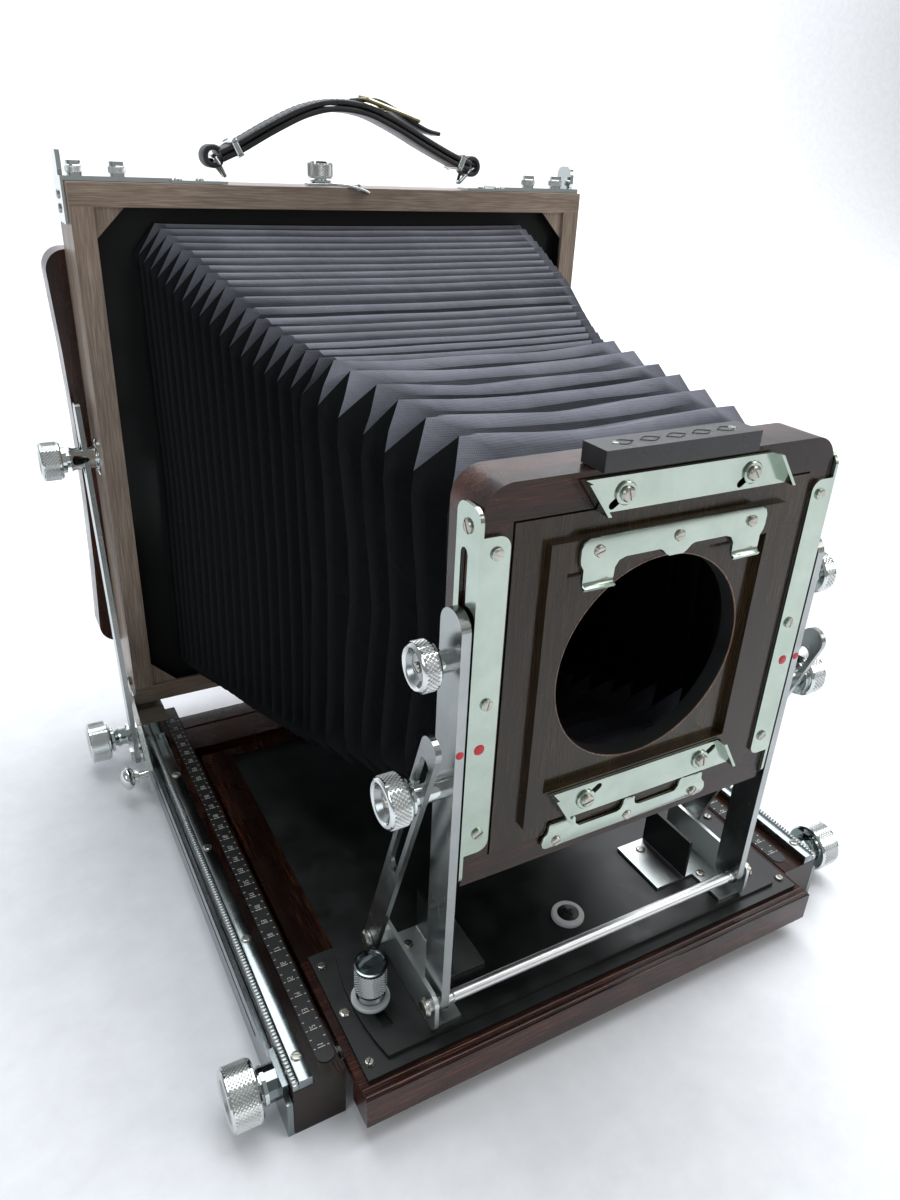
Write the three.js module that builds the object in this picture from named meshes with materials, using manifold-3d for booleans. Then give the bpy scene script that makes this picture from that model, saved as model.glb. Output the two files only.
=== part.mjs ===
// Folding wooden view camera for 8 x 10 inch sheet film: bed, sliding front, front standard with its
// movements, bellows, rear frame and spring back. Millimetres, +Z up, the lens board faces -Y.
// Inside the group, y = 0 is the rear frame's front face and z = 0 the surface the rails stand on.
import * as THREE from 'three';
import { mergeVertices } from 'three/addons/utils/BufferGeometryUtils.js';
import Module from 'manifold-3d';

const wasm = await Module();
wasm.setup();

// ---------------------------------------------------------------- driving dimensions
const GAP = 0.3; // between pieces that touch or turn on each other
const SHEET = 1.6; // chrome sheet for brackets
const KNOB_SIDES = 20;
const BENDS = 5; // straight pieces in a visible rounded corner

const FRONT_REACH = 301; // from the rear frame's front face to the front frame's front face
const REAR = { width: 325, height: 320, depth: 43, wall: 12, base: 47, gusset: 16, panel: 4 };
// board inside the rear frame that holds the bellows
const LINER = { front: 9, thick: 4, opening: [REAR.width - 81, REAR.height - 48], lift: 19 };
const BACK = { overhang: 11.5, depth: 21, low: 28, high: 37, waist: 3.5, corner: 12, sill: 20 };
const BACK_OPENING = [REAR.width - 69, REAR.height - 105];
const GLASS = { thick: 2.6, lip: 6, setback: 6 };

const RAIL = { inset: 2.5, width: 24, height: 28, reach: FRONT_REACH - 3, heel: 16 };
const SIDE_PLATE = { thick: 2.7, height: 21, groove: [2.2, 0.8], grooveZ: 12 };
const RACK = { width: 2.5, height: 4.7 };
const STRIP = { width: 6.2, height: 5.1, screws: 5 };
const BED_BASE = { low: 3.3, thick: 4.7, front: FRONT_REACH - 51, heel: 10 };
const BED_CROSS = { front: 31, depth: 25, height: 22 };
const TRIPOD_PLATE = { radius: 38, thick: 3, hole: 7.5, back: 140 };

const BOARD = { lip: 16, lipDepth: 15, depth: 81, bottom: 12, underside: 24, top: 29, play: 2 };
const RUNNER = { width: 18, heel: 58, cross: 8, rack: 8 };
const PANEL = { thick: 3 };
const SLIDE_PLATE = { thick: 2, margin: 4, step: 7.5 };
const FOCUS = {
  back: FRONT_REACH - 18,
  height: 19.5,
  shaft: 4,
  pinion: 5.5,
  pinionWidth: 7.4,
  knob: 14,
  knobLength: 14,
  standOff: 23,
};
const COLLAR = { radius: 8, length: 8 };

const FRONT = { width: 170, height: 176, depth: 23, base: 116, corner: 12 };
const SWING = {
  radius: FRONT.width / 2 + 37,
  thick: 2,
  front: FRONT_REACH + 3,
  back: FRONT_REACH - 59,
  pivot: FRONT_REACH - 28,
  slotRadius: FRONT.width / 2 + 27.8,
  slotTurn: 9,
  slot: 5,
};
const BUSH = { stud: 5, washer: 8.2, head: 2.2 };
const LOCK_KNOB = { washer: 9.2, body: 7.8, neck: 5, top: 61 };
const ROD = { radius: 2.8, height: 47.5, back: FRONT_REACH - 2 };
const LEG = { thick: 4, width: 16, top: FRONT.base + 129, play: 1 };
const FOOT = { side: 2, height: 55, length: 62, sole: 13.5, spread: 1.5 };
const STOP = { width: 18, height: 26, length: 38, inset: 16 };
const ARM = {
  thick: 2.5,
  width: 12,
  pivotBack: FRONT_REACH - 51,
  pivotHeight: 45,
  standOff: 5,
  beyond: 28, // past the tilt knob's axis
  slotBefore: 55.4,
  slotBeyond: 19,
  slotWidth: 6.6,
};
const TILT_KNOB = {
  back: FRONT_REACH - 8.5,
  height: FRONT.base + 49,
  stud: 2.5,
  radius: 11,
  length: 10,
  standOff: 15.1,
};
const RISE_KNOB = {
  back: FRONT_REACH - 8,
  height: FRONT.base + 107,
  stud: 2,
  radius: 10,
  length: 8,
  standOff: 14.1,
};

const ANGLE = {
  flange: 10.8,
  low: 18,
  top: FRONT.height - 8,
  face: FRONT.height - 18,
  side: 16,
  corner: 5,
  slotDrop: 27, // of the slot's low end under the rise knob
  slotTop: FRONT.height - 27,
  slotWidth: 5,
  screws: [10, 72, FRONT.height - 42.5],
};
const LENS_BOARD = {
  width: FRONT.width - 26,
  height: FRONT.height - 28,
  thick: 8,
  lift: 13,
  panel: [FRONT.width - 54, FRONT.height - 47.5],
  panelLift: 10,
  raise: 3,
  rest: 10, // frame behind the board's edge
};
const SEAT = { size: 100, lift: 26, floor: 3.5, hole: 47, holeLift: 76.6 };
const TOP_SLIDER = {
  width: 94,
  height: 13.5,
  cant: 10,
  bend: 6,
  slot: 7.5,
  slotWidth: 3.2,
  screw: 31.3,
  lift: 1,
};
const LOW_SLIDER = {
  width: 94,
  height: 15,
  cant: 9,
  bend: 6,
  slot: 7.5,
  slotWidth: 3.2,
  screw: 32.5,
  lift: 22,
};
const SLIDER_TILT = THREE.MathUtils.degToRad(35); // direction of the sliders' slots
const BOARD_BRACKET = { width: 92, height: 10, hook: 15, hookDrop: 9, screw: 38 };
const FRAME_BRACKET = { width: 93, height: 7, hook: 14, hookRise: 7, screw: 39, lift: 7 };
const LEVEL = { width: 74, depth: 14, height: 8, shift: -3, forward: 5 };
const SCREW = { head: 2.6, proud: 0.9 };

const CARRIAGE = {
  front: 48,
  heel: 28,
  thick: 3,
  play: 1.5,
  low: 10,
  top: 60,
  blockFront: 22,
  blockTop: 44.5,
  inner: REAR.width / 2 - 16,
};
const REAR_FOCUS = { behind: 6, height: 21, shaft: 4, knob: 13.5, knobLength: 20, standOff: 28.5 };
const REAR_LOCK = { before: 40, height: 19, stud: 2.5, knob: 7.5, knobLength: 9, standOff: 16.5 };
const REAR_PIVOT = { behind: 21, above: 7, pin: 3 }; // the rear frame tilts on it
const BRACE = {
  thick: 3,
  width: 12,
  before: 23,
  height: 24,
  top: REAR.base + 199,
  pin: 2.5,
  slot: 13,
  slotWidth: 6.6,
};
const REAR_KNOB = { behind: 22, height: REAR.base + 167, stud: 3, radius: 11.5, length: 14, standOff: 24.1 };

const TOP_PLATE = {
  inner: REAR.width / 2 - 55.5,
  thick: 2.2,
  front: 6,
  back: 34,
  wrap: 21,
  tab: [16, 16],
  tabThick: 2.4,
  bolts: [REAR.width / 2 - 7.5, REAR.width / 2 - 29.5],
  bolt: 4,
  boltTop: 7,
};
const LUG = { inner: REAR.width / 2 - 85.5, front: 3, back: 17, thick: 1.4 };
const HANDLE = {
  half: REAR.width / 2 - 81.5,
  width: 18,
  behind: 10,
  thick: 6.5,
  rise: 30,
  foot: 13.5,
  pivot: 4.5,
  knuckle: 2.2,
  stem: 5,
};
const LATCH = { shift: -19, behind: 12, radius: 7.5, low: 4, top: 14, neck: 3.5 };

const BELLOWS_WALL = 2;
const STRETCH = FRONT_REACH / 301; // of the bellows' stations with the camera's length
const BELLOWS_RELIEF = 8.7; // how far the rear end goes into the rear frame
// Half width, bottom and top of the bellows at stations in front of the rear frame.
const BELLOWS_STATIONS = [
  { at: 0, half: REAR.width / 2 - 34.5, low: REAR.base + 14.5, top: REAR.base + REAR.height - 23 },
  { at: 75 * STRETCH, half: REAR.width / 2 - 49.5, low: REAR.base + 27, top: REAR.base + REAR.height - 46 },
  {
    at: 150 * STRETCH,
    half: FRONT.width / 2 + 3,
    low: FRONT.base - 33.5,
    top: FRONT.base + FRONT.height + 6,
  },
  {
    at: FRONT_REACH - FRONT.depth,
    half: FRONT.width / 2 - 11,
    low: FRONT.base + 24,
    top: FRONT.base + FRONT.height - 5,
  },
];
// Where one stretch of the bellows ends and the next begins, in front of the rear frame.
const BELLOWS_ENDS = [
  -BELLOWS_RELIEF,
  ...[38, 94, 160, 188, 234].map((at) => at * STRETCH),
  FRONT_REACH - FRONT.depth - GAP,
];

// ---------------------------------------------------------------- derived planes
const railOut = REAR.width / 2 - RAIL.inset;
const railIn = railOut - RAIL.width;
const plateOut = railOut + GAP + SIDE_PLATE.thick;
const boardHalf = railIn - BOARD.play;
const boardFront = -FRONT_REACH - BOARD.lip;
const boardBack = boardFront + BOARD.depth;
const boardTop = BOARD.top;
const slideTop = boardTop + GAP + SLIDE_PLATE.thick;
const swingBottom = slideTop + GAP;
const swingTop = swingBottom + SWING.thick;
const frontHalf = FRONT.width / 2;
const frontFace = -FRONT_REACH;
const angleSideOut = frontHalf + GAP + SHEET;
const legIn = angleSideOut + LEG.play;
const legOut = legIn + LEG.thick;
const footIn = legOut + FOOT.spread;
const footOut = footIn + FOOT.side;
const armIn = footOut + ARM.standOff;
const armOut = armIn + ARM.thick;
const rearTop = REAR.base + REAR.height;
const rearHalf = REAR.width / 2;
const backPlane = REAR.depth + GAP;
const backEnd = backPlane + BACK.depth + 0.7;
const lensFace = frontFace - 0.5;
const panelFace = lensFace - LENS_BOARD.raise;
const boardLow = FRONT.base + LENS_BOARD.lift;
const carriageIn = plateOut + CARRIAGE.play;
const carriageOut = carriageIn + CARRIAGE.thick;
const braceIn = carriageOut + GAP + 0.7;
const braceOut = braceIn + BRACE.thick;
const focusFace = plateOut + FOCUS.standOff;

// ---------------------------------------------------------------- materials
const paint = (color, roughness, metalness) => new THREE.MeshStandardMaterial({ color, roughness, metalness });
const WOOD = paint(0x3a1d12, 0.35, 0);
const CHROME = paint(0xd4d8d6, 0.16, 1);
const BLACK = paint(0x121314, 0.45, 0.2);
const CLOTH = paint(0x15181a, 0.85, 0);
const LEATHER = paint(0x17120f, 0.6, 0);
const FROSTED = paint(0xcfd6d6, 0.6, 0);

// ---------------------------------------------------------------- shape helpers
const camera = new THREE.Group();
camera.position.y = -(boardFront + backEnd) / 2;

/** A closed three.js geometry as a solid that can be joined and cut. */
function solid(geometry) {
  geometry.deleteAttribute('normal');
  geometry.deleteAttribute('uv');
  const merged = mergeVertices(geometry, 1e-4);
  const triangles = [];
  const { array } = merged.index;
  for (let i = 0; i < array.length; i += 3) {
    const [a, b, c] = array.slice(i, i + 3);
    if (a !== b && b !== c && c !== a) triangles.push(a, b, c);
  }
  const mesh = new wasm.Mesh({
    numProp: 3,
    vertProperties: new Float32Array(merged.attributes.position.array),
    triVerts: new Uint32Array(triangles),
  });
  return new wasm.Manifold(mesh);
}

/** Adds one named piece to the camera. */
function piece(name, shape, material) {
  const { vertProperties, triVerts } = shape.getMesh();
  const geometry = new THREE.BufferGeometry();
  geometry.setAttribute('position', new THREE.BufferAttribute(new Float32Array(vertProperties), 3));
  geometry.setIndex(new THREE.BufferAttribute(new Uint32Array(triVerts), 1));
  geometry.computeVertexNormals();
  const mesh = new THREE.Mesh(geometry, material);
  mesh.name = name;
  camera.add(mesh);
}

const join = (first, ...rest) => rest.reduce((all, next) => all.add(next), first);
const cut = (first, ...rest) => rest.reduce((all, next) => all.subtract(next), first);
const span = (a, b) => (a < b ? [a, b] : [b, a]);

/** A box between two values on each axis. */
function box([x0, x1], [y0, y1], [z0, z1]) {
  const geometry = new THREE.BoxGeometry(Math.abs(x1 - x0), Math.abs(y1 - y0), Math.abs(z1 - z0));
  geometry.translate((x0 + x1) / 2, (y0 + y1) / 2, (z0 + z1) / 2);
  return solid(geometry);
}

/** Puts a geometry made along +Z, in the plane u, v, so that it runs along the named axis. */
function lay(geometry, axis, from, to) {
  geometry.translate(0, 0, axis === 'y' ? -to : from);
  if (axis === 'y') geometry.rotateX(Math.PI / 2);
  if (axis === 'x') {
    const turn = new THREE.Matrix4().set(0, 0, 1, 0, 1, 0, 0, 0, 0, 1, 0, 0, 0, 0, 0, 1);
    geometry.applyMatrix4(turn);
  }
  return solid(geometry);
}

/** An outline extruded along an axis. It lies in y, z for x, in x, z for y and in x, y for z. */
function prism(axis, outline, from, to, curveSegments = 2) {
  const shape = outline instanceof THREE.Shape ? outline : new THREE.Shape(outline.map((p) => new THREE.Vector2(...p)));
  const [low, high] = span(from, to);
  const geometry = new THREE.ExtrudeGeometry(
    shape,
    { depth: high - low, bevelEnabled: false, curveSegments },
  );
  return lay(geometry, axis, low, high);
}

/** A round bar along an axis. Its centre is y, z for x, x, z for y and x, y for z. */
function bar(axis, [u, v], radius, from, to, sides = 12) {
  const circle = Array.from({ length: sides }, (_, i) => {
    const turn = (i * 2 * Math.PI) / sides;
    return [u + radius * Math.cos(turn), v + radius * Math.sin(turn)];
  });
  return prism(axis, circle, from, to);
}

/** A rectangle with its four corners rounded. */
function rounded([u0, u1], [v0, v1], radius) {
  const shape = new THREE.Shape();
  const corners = [
    [u1 - radius, v0 + radius, -0.5],
    [u1 - radius, v1 - radius, 0],
    [u0 + radius, v1 - radius, 0.5],
    [u0 + radius, v0 + radius, 1],
  ];
  corners.forEach(([u, v, start]) => shape.absarc(
    u,
    v,
    radius,
    start * Math.PI,
    (start + 0.5) * Math.PI,
    false,
  ));
  return shape;
}

/** A bar with round ends between two points, as an outline. */
function capsule([u0, v0], [u1, v1], radius) {
  const along = Math.atan2(v1 - v0, u1 - u0);
  const shape = new THREE.Shape();
  shape.absarc(u1, v1, radius, along - Math.PI / 2, along + Math.PI / 2, false);
  shape.absarc(u0, v0, radius, along + Math.PI / 2, along + 1.5 * Math.PI, false);
  return shape;
}

/** A knob on the x axis: grip outside, then a neck down to its stud. */
function sideKnob(side, centre, { face, length, radius, stud, neck, studEnd }) {
  const grip = bar('x', centre, radius, side * face, side * (face - length), KNOB_SIDES);
  const hub = bar('x', centre, neck.radius, side * (face - length), side * neck.end, 12);
  const shank = bar('x', centre, stud, side * (face - length), side * studEnd, 8);
  return join(grip, hub, shank);
}

/** A low screw head standing on a face. */
function head(axis, centre, face, direction, radius = SCREW.head) {
  const disc = bar(axis, centre, radius, face - direction * 0.2, face + direction * SCREW.proud, 12);
  return disc;
}

const sides = [
  ['left', -1],
  ['right', 1],
];

// ---------------------------------------------------------------- bed
function buildBed() {
  const ends = [-RAIL.reach, RAIL.heel];
  const inner = [-(railIn - GAP), railIn - GAP];
  for (const [name, side] of sides) {
    const shaftHole = bar(
      'x',
      [-FOCUS.back, FOCUS.height],
      FOCUS.shaft + GAP,
      side * 0.5 * railIn,
      side * 1.1 * railOut,
    );
    const rail = box([side * railIn, side * railOut], ends, [0, RAIL.height]);
    piece(`rail_${name}`, cut(rail, shaftHole), WOOD);

    const plateIn = railOut + GAP;
    const groove = box(
      [side * (plateOut - SIDE_PLATE.groove[1]), side * (plateOut + 1)],
      [ends[0] + 45, ends[1] + 1],
      [SIDE_PLATE.grooveZ, SIDE_PLATE.grooveZ + SIDE_PLATE.groove[0]],
    );
    const plate = box([side * plateIn, side * plateOut], ends, [0, SIDE_PLATE.height]);
    const collar = bar(
      'x',
      [-FOCUS.back, FOCUS.height],
      COLLAR.radius,
      side * plateIn,
      side * (plateOut + COLLAR.length),
    );
    const tallCollar = box(
      [side * plateIn, side * plateOut],
      [-FOCUS.back - 10, -FOCUS.back + 10],
      [0, FOCUS.height + 8],
    );
    piece(`side_plate_${name}`, cut(join(cut(plate, groove), tallCollar, collar), shaftHole), CHROME);

    const strip = buildRackStrip(side, ends);
    piece(`rack_strip_${name}`, strip, CHROME);
  }
  const low = BED_BASE.low;
  const base = box(inner, [-BED_BASE.front, BED_BASE.heel], [low, low + BED_BASE.thick]);
  const cross = box(inner, [-BED_CROSS.front, -BED_CROSS.front + BED_CROSS.depth], [low, BED_CROSS.height]);
  const heel = box(inner, [-4, BED_BASE.heel], [low, BED_CROSS.height]);
  const screwHole = bar('z', [0, -TRIPOD_PLATE.back], TRIPOD_PLATE.hole, 0, RAIL.height);
  piece('bed_base', cut(join(base, cross, heel), screwHole), WOOD);
  const disc = bar('z', [0, -TRIPOD_PLATE.back], TRIPOD_PLATE.radius, 0, TRIPOD_PLATE.thick, 40);
  piece(
    'tripod_plate',
    cut(disc, bar('z', [0, -TRIPOD_PLATE.back], TRIPOD_PLATE.hole, -1, RAIL.height)),
    CHROME,
  );
}

/** Rack bar and screwed cover strip on top of a rail. */
function buildRackStrip(side, ends) {
  const low = RAIL.height + GAP;
  const rack = box([side * (railOut - RACK.width), side * railOut], ends, [low, low + RACK.height]);
  const outer = railOut - RACK.width - GAP;
  const strip = box([side * (outer - STRIP.width), side * outer], ends, [low, low + STRIP.height]);
  const foot = box([side * (outer - STRIP.width), side * railOut], ends, [low, low + 1.5]);
  const span5 = (ends[1] - ends[0] - 24) / (STRIP.screws - 1);
  const heads = Array.from({ length: STRIP.screws }, (_, i) =>
    head('z', [side * (outer - STRIP.width / 2), ends[0] + 12 + i * span5], low + STRIP.height, 1, 2.2),
  );
  return join(rack, strip, foot, ...heads);
}

// ---------------------------------------------------------------- sliding front of the bed
function buildSlide() {
  const wide = [-boardHalf, boardHalf];
  const lip = box(wide, [boardFront, boardFront + BOARD.lipDepth], [BOARD.bottom, boardTop]);
  const top = box(wide, [boardFront, boardBack], [BOARD.underside, boardTop]);
  const racks = sides.map(([, side]) => rackGroove(side, boardFront + BOARD.lipDepth + GAP, boardBack + 1));
  piece('front_board', cut(join(lip, top), ...racks), WOOD);

  const heel = -RUNNER.heel;
  const runners = sides.map(([, side]) =>
    box(
      [side * (boardHalf - RUNNER.width), side * boardHalf],
      [boardBack + GAP, heel + RUNNER.cross],
      [BOARD.underside, boardTop],
    ),
  );
  const cross = box(wide, [heel, heel + RUNNER.cross], [BOARD.underside, boardTop]);
  const grooves = sides.map(([, side]) => rackGroove(side, boardBack - 1, heel + RUNNER.cross - 3));
  piece('slide_frame', cut(join(...runners, cross), ...grooves), WOOD);

  const panelHalf = boardHalf - RUNNER.width - GAP;
  const panelTop = boardTop - 1;
  const panelBox = box(
    [-panelHalf, panelHalf],
    [boardBack + GAP, heel - GAP],
    [panelTop - PANEL.thick, panelTop],
  );
  piece('slide_panel', panelBox, BLACK);

  piece('slide_plate', buildSlidePlate(), BLACK);

  const shaft = bar(
    'x',
    [-FOCUS.back, FOCUS.height],
    FOCUS.shaft,
    -(focusFace - FOCUS.knobLength),
    focusFace - FOCUS.knobLength,
  );
  const pinions = sides.map(([, side]) => {
    const middle = side * rackMiddle();
    const half = FOCUS.pinionWidth / 2;
    return bar('x', [-FOCUS.back, FOCUS.height], FOCUS.pinion, middle - half, middle + half);
  });
  piece('focus_shaft', join(shaft, ...pinions), CHROME);
  for (const [name, side] of sides) {
    const knob = sideKnob(side, [-FOCUS.back, FOCUS.height], {
      face: focusFace,
      length: FOCUS.knobLength,
      radius: FOCUS.knob,
      stud: FOCUS.shaft,
      neck: { radius: FOCUS.shaft + 2, end: focusFace - FOCUS.knobLength - 1 },
      studEnd: focusFace - FOCUS.knobLength - 1,
    });
    const bore = bar(
      'x',
      [-FOCUS.back, FOCUS.height],
      FOCUS.shaft + GAP,
      side * (plateOut + 1),
      side * (focusFace - FOCUS.knobLength + GAP),
    );
    piece(`focus_knob_${name}`, cut(knob, bore), CHROME);
  }
}

const rackMiddle = () => boardHalf - RUNNER.width / 2 - 3;

/** Groove under the slide in which the pinion runs against its rack. */
function rackGroove(side, from, to) {
  const half = RUNNER.rack / 2 + GAP;
  const middle = side * rackMiddle();
  return box(
    [middle - half, middle + half],
    [from, to],
    [BOARD.underside - 1, FOCUS.height + FOCUS.pinion + GAP],
  );
}

/** Stepped black plate on the front board, with the stud and washer that the swing plate turns on. */
function buildSlidePlate() {
  const low = boardTop + GAP;
  const half = boardHalf - SLIDE_PLATE.margin;
  const front = boardFront + SLIDE_PLATE.step;
  const plate = box([-half, half], [front, boardBack], [low, slideTop]);
  const centre = [0, -SWING.pivot];
  const stud = bar('z', centre, BUSH.stud, low, swingTop + GAP + BUSH.head);
  const washer = bar('z', centre, BUSH.washer, swingTop + GAP, swingTop + GAP + BUSH.head);
  const dimple = bar('z', centre, BUSH.stud - 1, swingTop + GAP + 1, swingTop + 9);
  const heads = [];
  for (const [, side] of sides) {
    for (const back of [8, BOARD.depth - SLIDE_PLATE.step - 8]) {
      heads.push(head('z', [side * (half - 4), front + back], slideTop, 1));
    }
  }
  return join(plate, stud, cut(washer, dimple), ...heads);
}

// ---------------------------------------------------------------- swing plate with its feet
function buildSwing() {
  const centre = [0, -SWING.pivot];
  const disc = bar('z', centre, SWING.radius, swingBottom, swingTop, 72);
  const strip = box([-SWING.radius, SWING.radius], [-SWING.front, -SWING.back], [swingBottom, swingTop]);
  const hole = bar('z', centre, BUSH.stud + GAP, swingBottom - 1, swingTop + 1);
  const slots = sides.map(([, side]) => arcSlot(side));
  piece('swing_plate', cut(disc.intersect(strip), hole, ...slots), BLACK);

  for (const [name, side] of sides) piece(`foot_bracket_${name}`, buildFoot(side), CHROME);
  piece('cross_rod', bar('x', [-ROD.back, ROD.height], ROD.radius, -(footOut + 2), footOut + 2), CHROME);

  const at = [-SWING.slotRadius, -SWING.pivot];
  const low = swingTop + GAP;
  const washer = bar('z', at, LOCK_KNOB.washer, low, low + 2, KNOB_SIDES);
  const neck = bar('z', at, LOCK_KNOB.neck, low, low + 8);
  const grip = bar('z', at, LOCK_KNOB.body, low + 6, LOCK_KNOB.top - 6, KNOB_SIDES);
  const wing = box([at[0] - 6, at[0] + 6], [at[1] - 1, at[1] + 1], [LOCK_KNOB.top - 8, LOCK_KNOB.top]);
  const stud = bar('z', at, SWING.slot / 2 - GAP - 0.5, slideTop + GAP, low + 1);
  piece('swing_lock_knob', join(washer, neck, grip, wing, stud), CHROME);
}

/** Arc slot that lets the swing plate pass the lock knob's stud. */
function arcSlot(side) {
  const turn = THREE.MathUtils.degToRad(SWING.slotTurn);
  const middle = side > 0 ? 0 : Math.PI;
  const shape = new THREE.Shape();
  shape.absarc(0, -SWING.pivot, SWING.slotRadius + SWING.slot / 2, middle - turn, middle + turn, false);
  shape.absarc(0, -SWING.pivot, SWING.slotRadius - SWING.slot / 2, middle + turn, middle - turn, true);
  return prism('z', shape, swingBottom - 1, swingTop + 1);
}

/** L foot that carries the cross rod and the arm pivot, with the stop angle on its sole. */
function buildFoot(side) {
  const low = swingTop + GAP;
  const front = -ROD.back - 5;
  const back = front + FOOT.length;
  const inner = footIn - FOOT.sole;
  const sole = box([side * inner, side * footOut], [front + 3, back - 3], [low, low + SHEET]);
  const cheek = prism(
    'x',
    rounded([front, back], [low, FOOT.height], 5),
    side * footIn,
    side * footOut,
    BENDS,
  );
  const rodHole = bar(
    'x',
    [-ROD.back, ROD.height],
    ROD.radius + GAP,
    side * (footIn - 2),
    side * (footOut + 3),
  );
  const spacer = bar('x', [-ARM.pivotBack, ARM.pivotHeight], 5, side * footOut, side * (armIn - GAP));
  const pin = bar('x', [-ARM.pivotBack, ARM.pivotHeight], 2.2, side * footOut, side * (armOut + 2));
  const pinHead = bar('x', [-ARM.pivotBack, ARM.pivotHeight], 4, side * (armOut + GAP), side * (armOut + 2));
  const stopX = inner - STOP.inset;
  const stopSole = box(
    [side * (stopX - STOP.width / 2), side * (inner + 0.5)],
    [back - STOP.length, back - 3],
    [low, low + SHEET],
  );
  const stopWall = box(
    [side * (inner - 5), side * (inner - 5 - SHEET)],
    [back - STOP.length, back - 3],
    [low, low + STOP.height],
  );
  return join(cut(join(sole, cheek), rodHole), spacer, pin, pinHead, stopSole, stopWall);
}

// ---------------------------------------------------------------- legs, arms and their knobs
function buildLegs() {
  const along = -ROD.back + LEG.width / 2 - 4; // middle of the leg in y
  for (const [name, side] of sides) {
    const outline = rounded(
      [along - LEG.width / 2, along + LEG.width / 2],
      [ROD.height - 7, LEG.top],
      LEG.width / 2 - 0.5,
    );
    const leg = prism('x', outline, side * legIn, side * legOut, BENDS);
    const holes = [
      bar('x', [-ROD.back, ROD.height], ROD.radius + GAP, side * (legIn - 1), side * (legOut + 1)),
      bar(
        'x',
        [-TILT_KNOB.back, TILT_KNOB.height],
        TILT_KNOB.stud + GAP,
        side * (legIn - 1),
        side * (legOut + 1),
      ),
      bar(
        'x',
        [-RISE_KNOB.back, RISE_KNOB.height],
        RISE_KNOB.stud + GAP,
        side * (legIn - 1),
        side * (legOut + 1),
      ),
    ];
    piece(`leg_${name}`, cut(leg, ...holes), CHROME);
    piece(`arm_${name}`, buildArm(side), CHROME);

    const tilt = sideKnob(side, [-TILT_KNOB.back, TILT_KNOB.height], {
      face: armOut + TILT_KNOB.standOff,
      length: TILT_KNOB.length,
      radius: TILT_KNOB.radius,
      stud: TILT_KNOB.stud,
      neck: { radius: 5.5, end: armOut + GAP },
      studEnd: legIn + 0.5,
    });
    piece(`tilt_knob_${name}`, tilt, CHROME);

    const rise = sideKnob(side, [-RISE_KNOB.back, RISE_KNOB.height], {
      face: legOut + RISE_KNOB.standOff,
      length: RISE_KNOB.length,
      radius: RISE_KNOB.radius,
      stud: RISE_KNOB.stud,
      neck: { radius: 5, end: legOut + GAP },
      studEnd: frontHalf + 2 * GAP,
    });
    piece(`rise_knob_${name}`, rise, CHROME);
  }
}

/** Slotted arm from its pivot on the foot up past the tilt knob. */
function buildArm(side) {
  const foot = new THREE.Vector2(-ARM.pivotBack, ARM.pivotHeight);
  const aim = new THREE.Vector2(-TILT_KNOB.back, TILT_KNOB.height).sub(foot);
  const knobAt = aim.length();
  aim.normalize();
  const at = (distance) => foot.clone().addScaledVector(aim, distance).toArray();
  const arm = prism(
    'x',
    capsule(at(0), at(knobAt + ARM.beyond), ARM.width / 2),
    side * armIn,
    side * armOut,
    BENDS,
  );
  const slotEnds = [at(knobAt - ARM.slotBefore), at(knobAt + ARM.slotBeyond)];
  const slot = prism(
    'x',
    capsule(...slotEnds, ARM.slotWidth / 2),
    side * (armIn - 1),
    side * (armOut + 1),
    BENDS,
  );
  const hole = bar('x', foot.toArray(), 2.2 + GAP, side * (armIn - 1), side * (armOut + 1));
  return cut(arm, slot, hole);
}

// ---------------------------------------------------------------- front frame and lens board
function buildFront() {
  const low = FRONT.base;
  const high = FRONT.base + FRONT.height;
  const back = frontFace + FRONT.depth;
  const outline = rounded([-frontHalf, frontHalf], [low, high], FRONT.corner);
  const body = prism('y', outline, frontFace, back, 2 * BENDS);
  const seatHalf = LENS_BOARD.width / 2 + 2 * GAP;
  const seat = box(
    [-seatHalf, seatHalf],
    [frontFace - 1, lensFace + LENS_BOARD.thick + GAP],
    [boardLow - 2 * GAP, boardLow + LENS_BOARD.height + 2 * GAP],
  );
  const well = box(
    [-seatHalf + LENS_BOARD.rest, seatHalf - LENS_BOARD.rest],
    [frontFace - 1, back + 1],
    [boardLow + LENS_BOARD.rest, boardLow + LENS_BOARD.height - LENS_BOARD.rest],
  );
  const square = box([-frontHalf, frontHalf], [frontFace, back], [low, low + 30]);
  piece('front_frame', cut(join(body, square), seat, well), WOOD);

  for (const [name, side] of sides) piece(`angle_plate_${name}`, buildAngle(side), CHROME);
  piece('lens_board', buildLensBoard(), WOOD);
  buildBrackets();

  const level = [LEVEL.shift - LEVEL.width / 2, LEVEL.shift + LEVEL.width / 2];
  const levelFront = frontFace - LEVEL.forward;
  const block = box(level, [levelFront, levelFront + LEVEL.depth], [high + GAP, high + GAP + LEVEL.height]);
  piece('level_block', block, BLACK);
}

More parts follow.
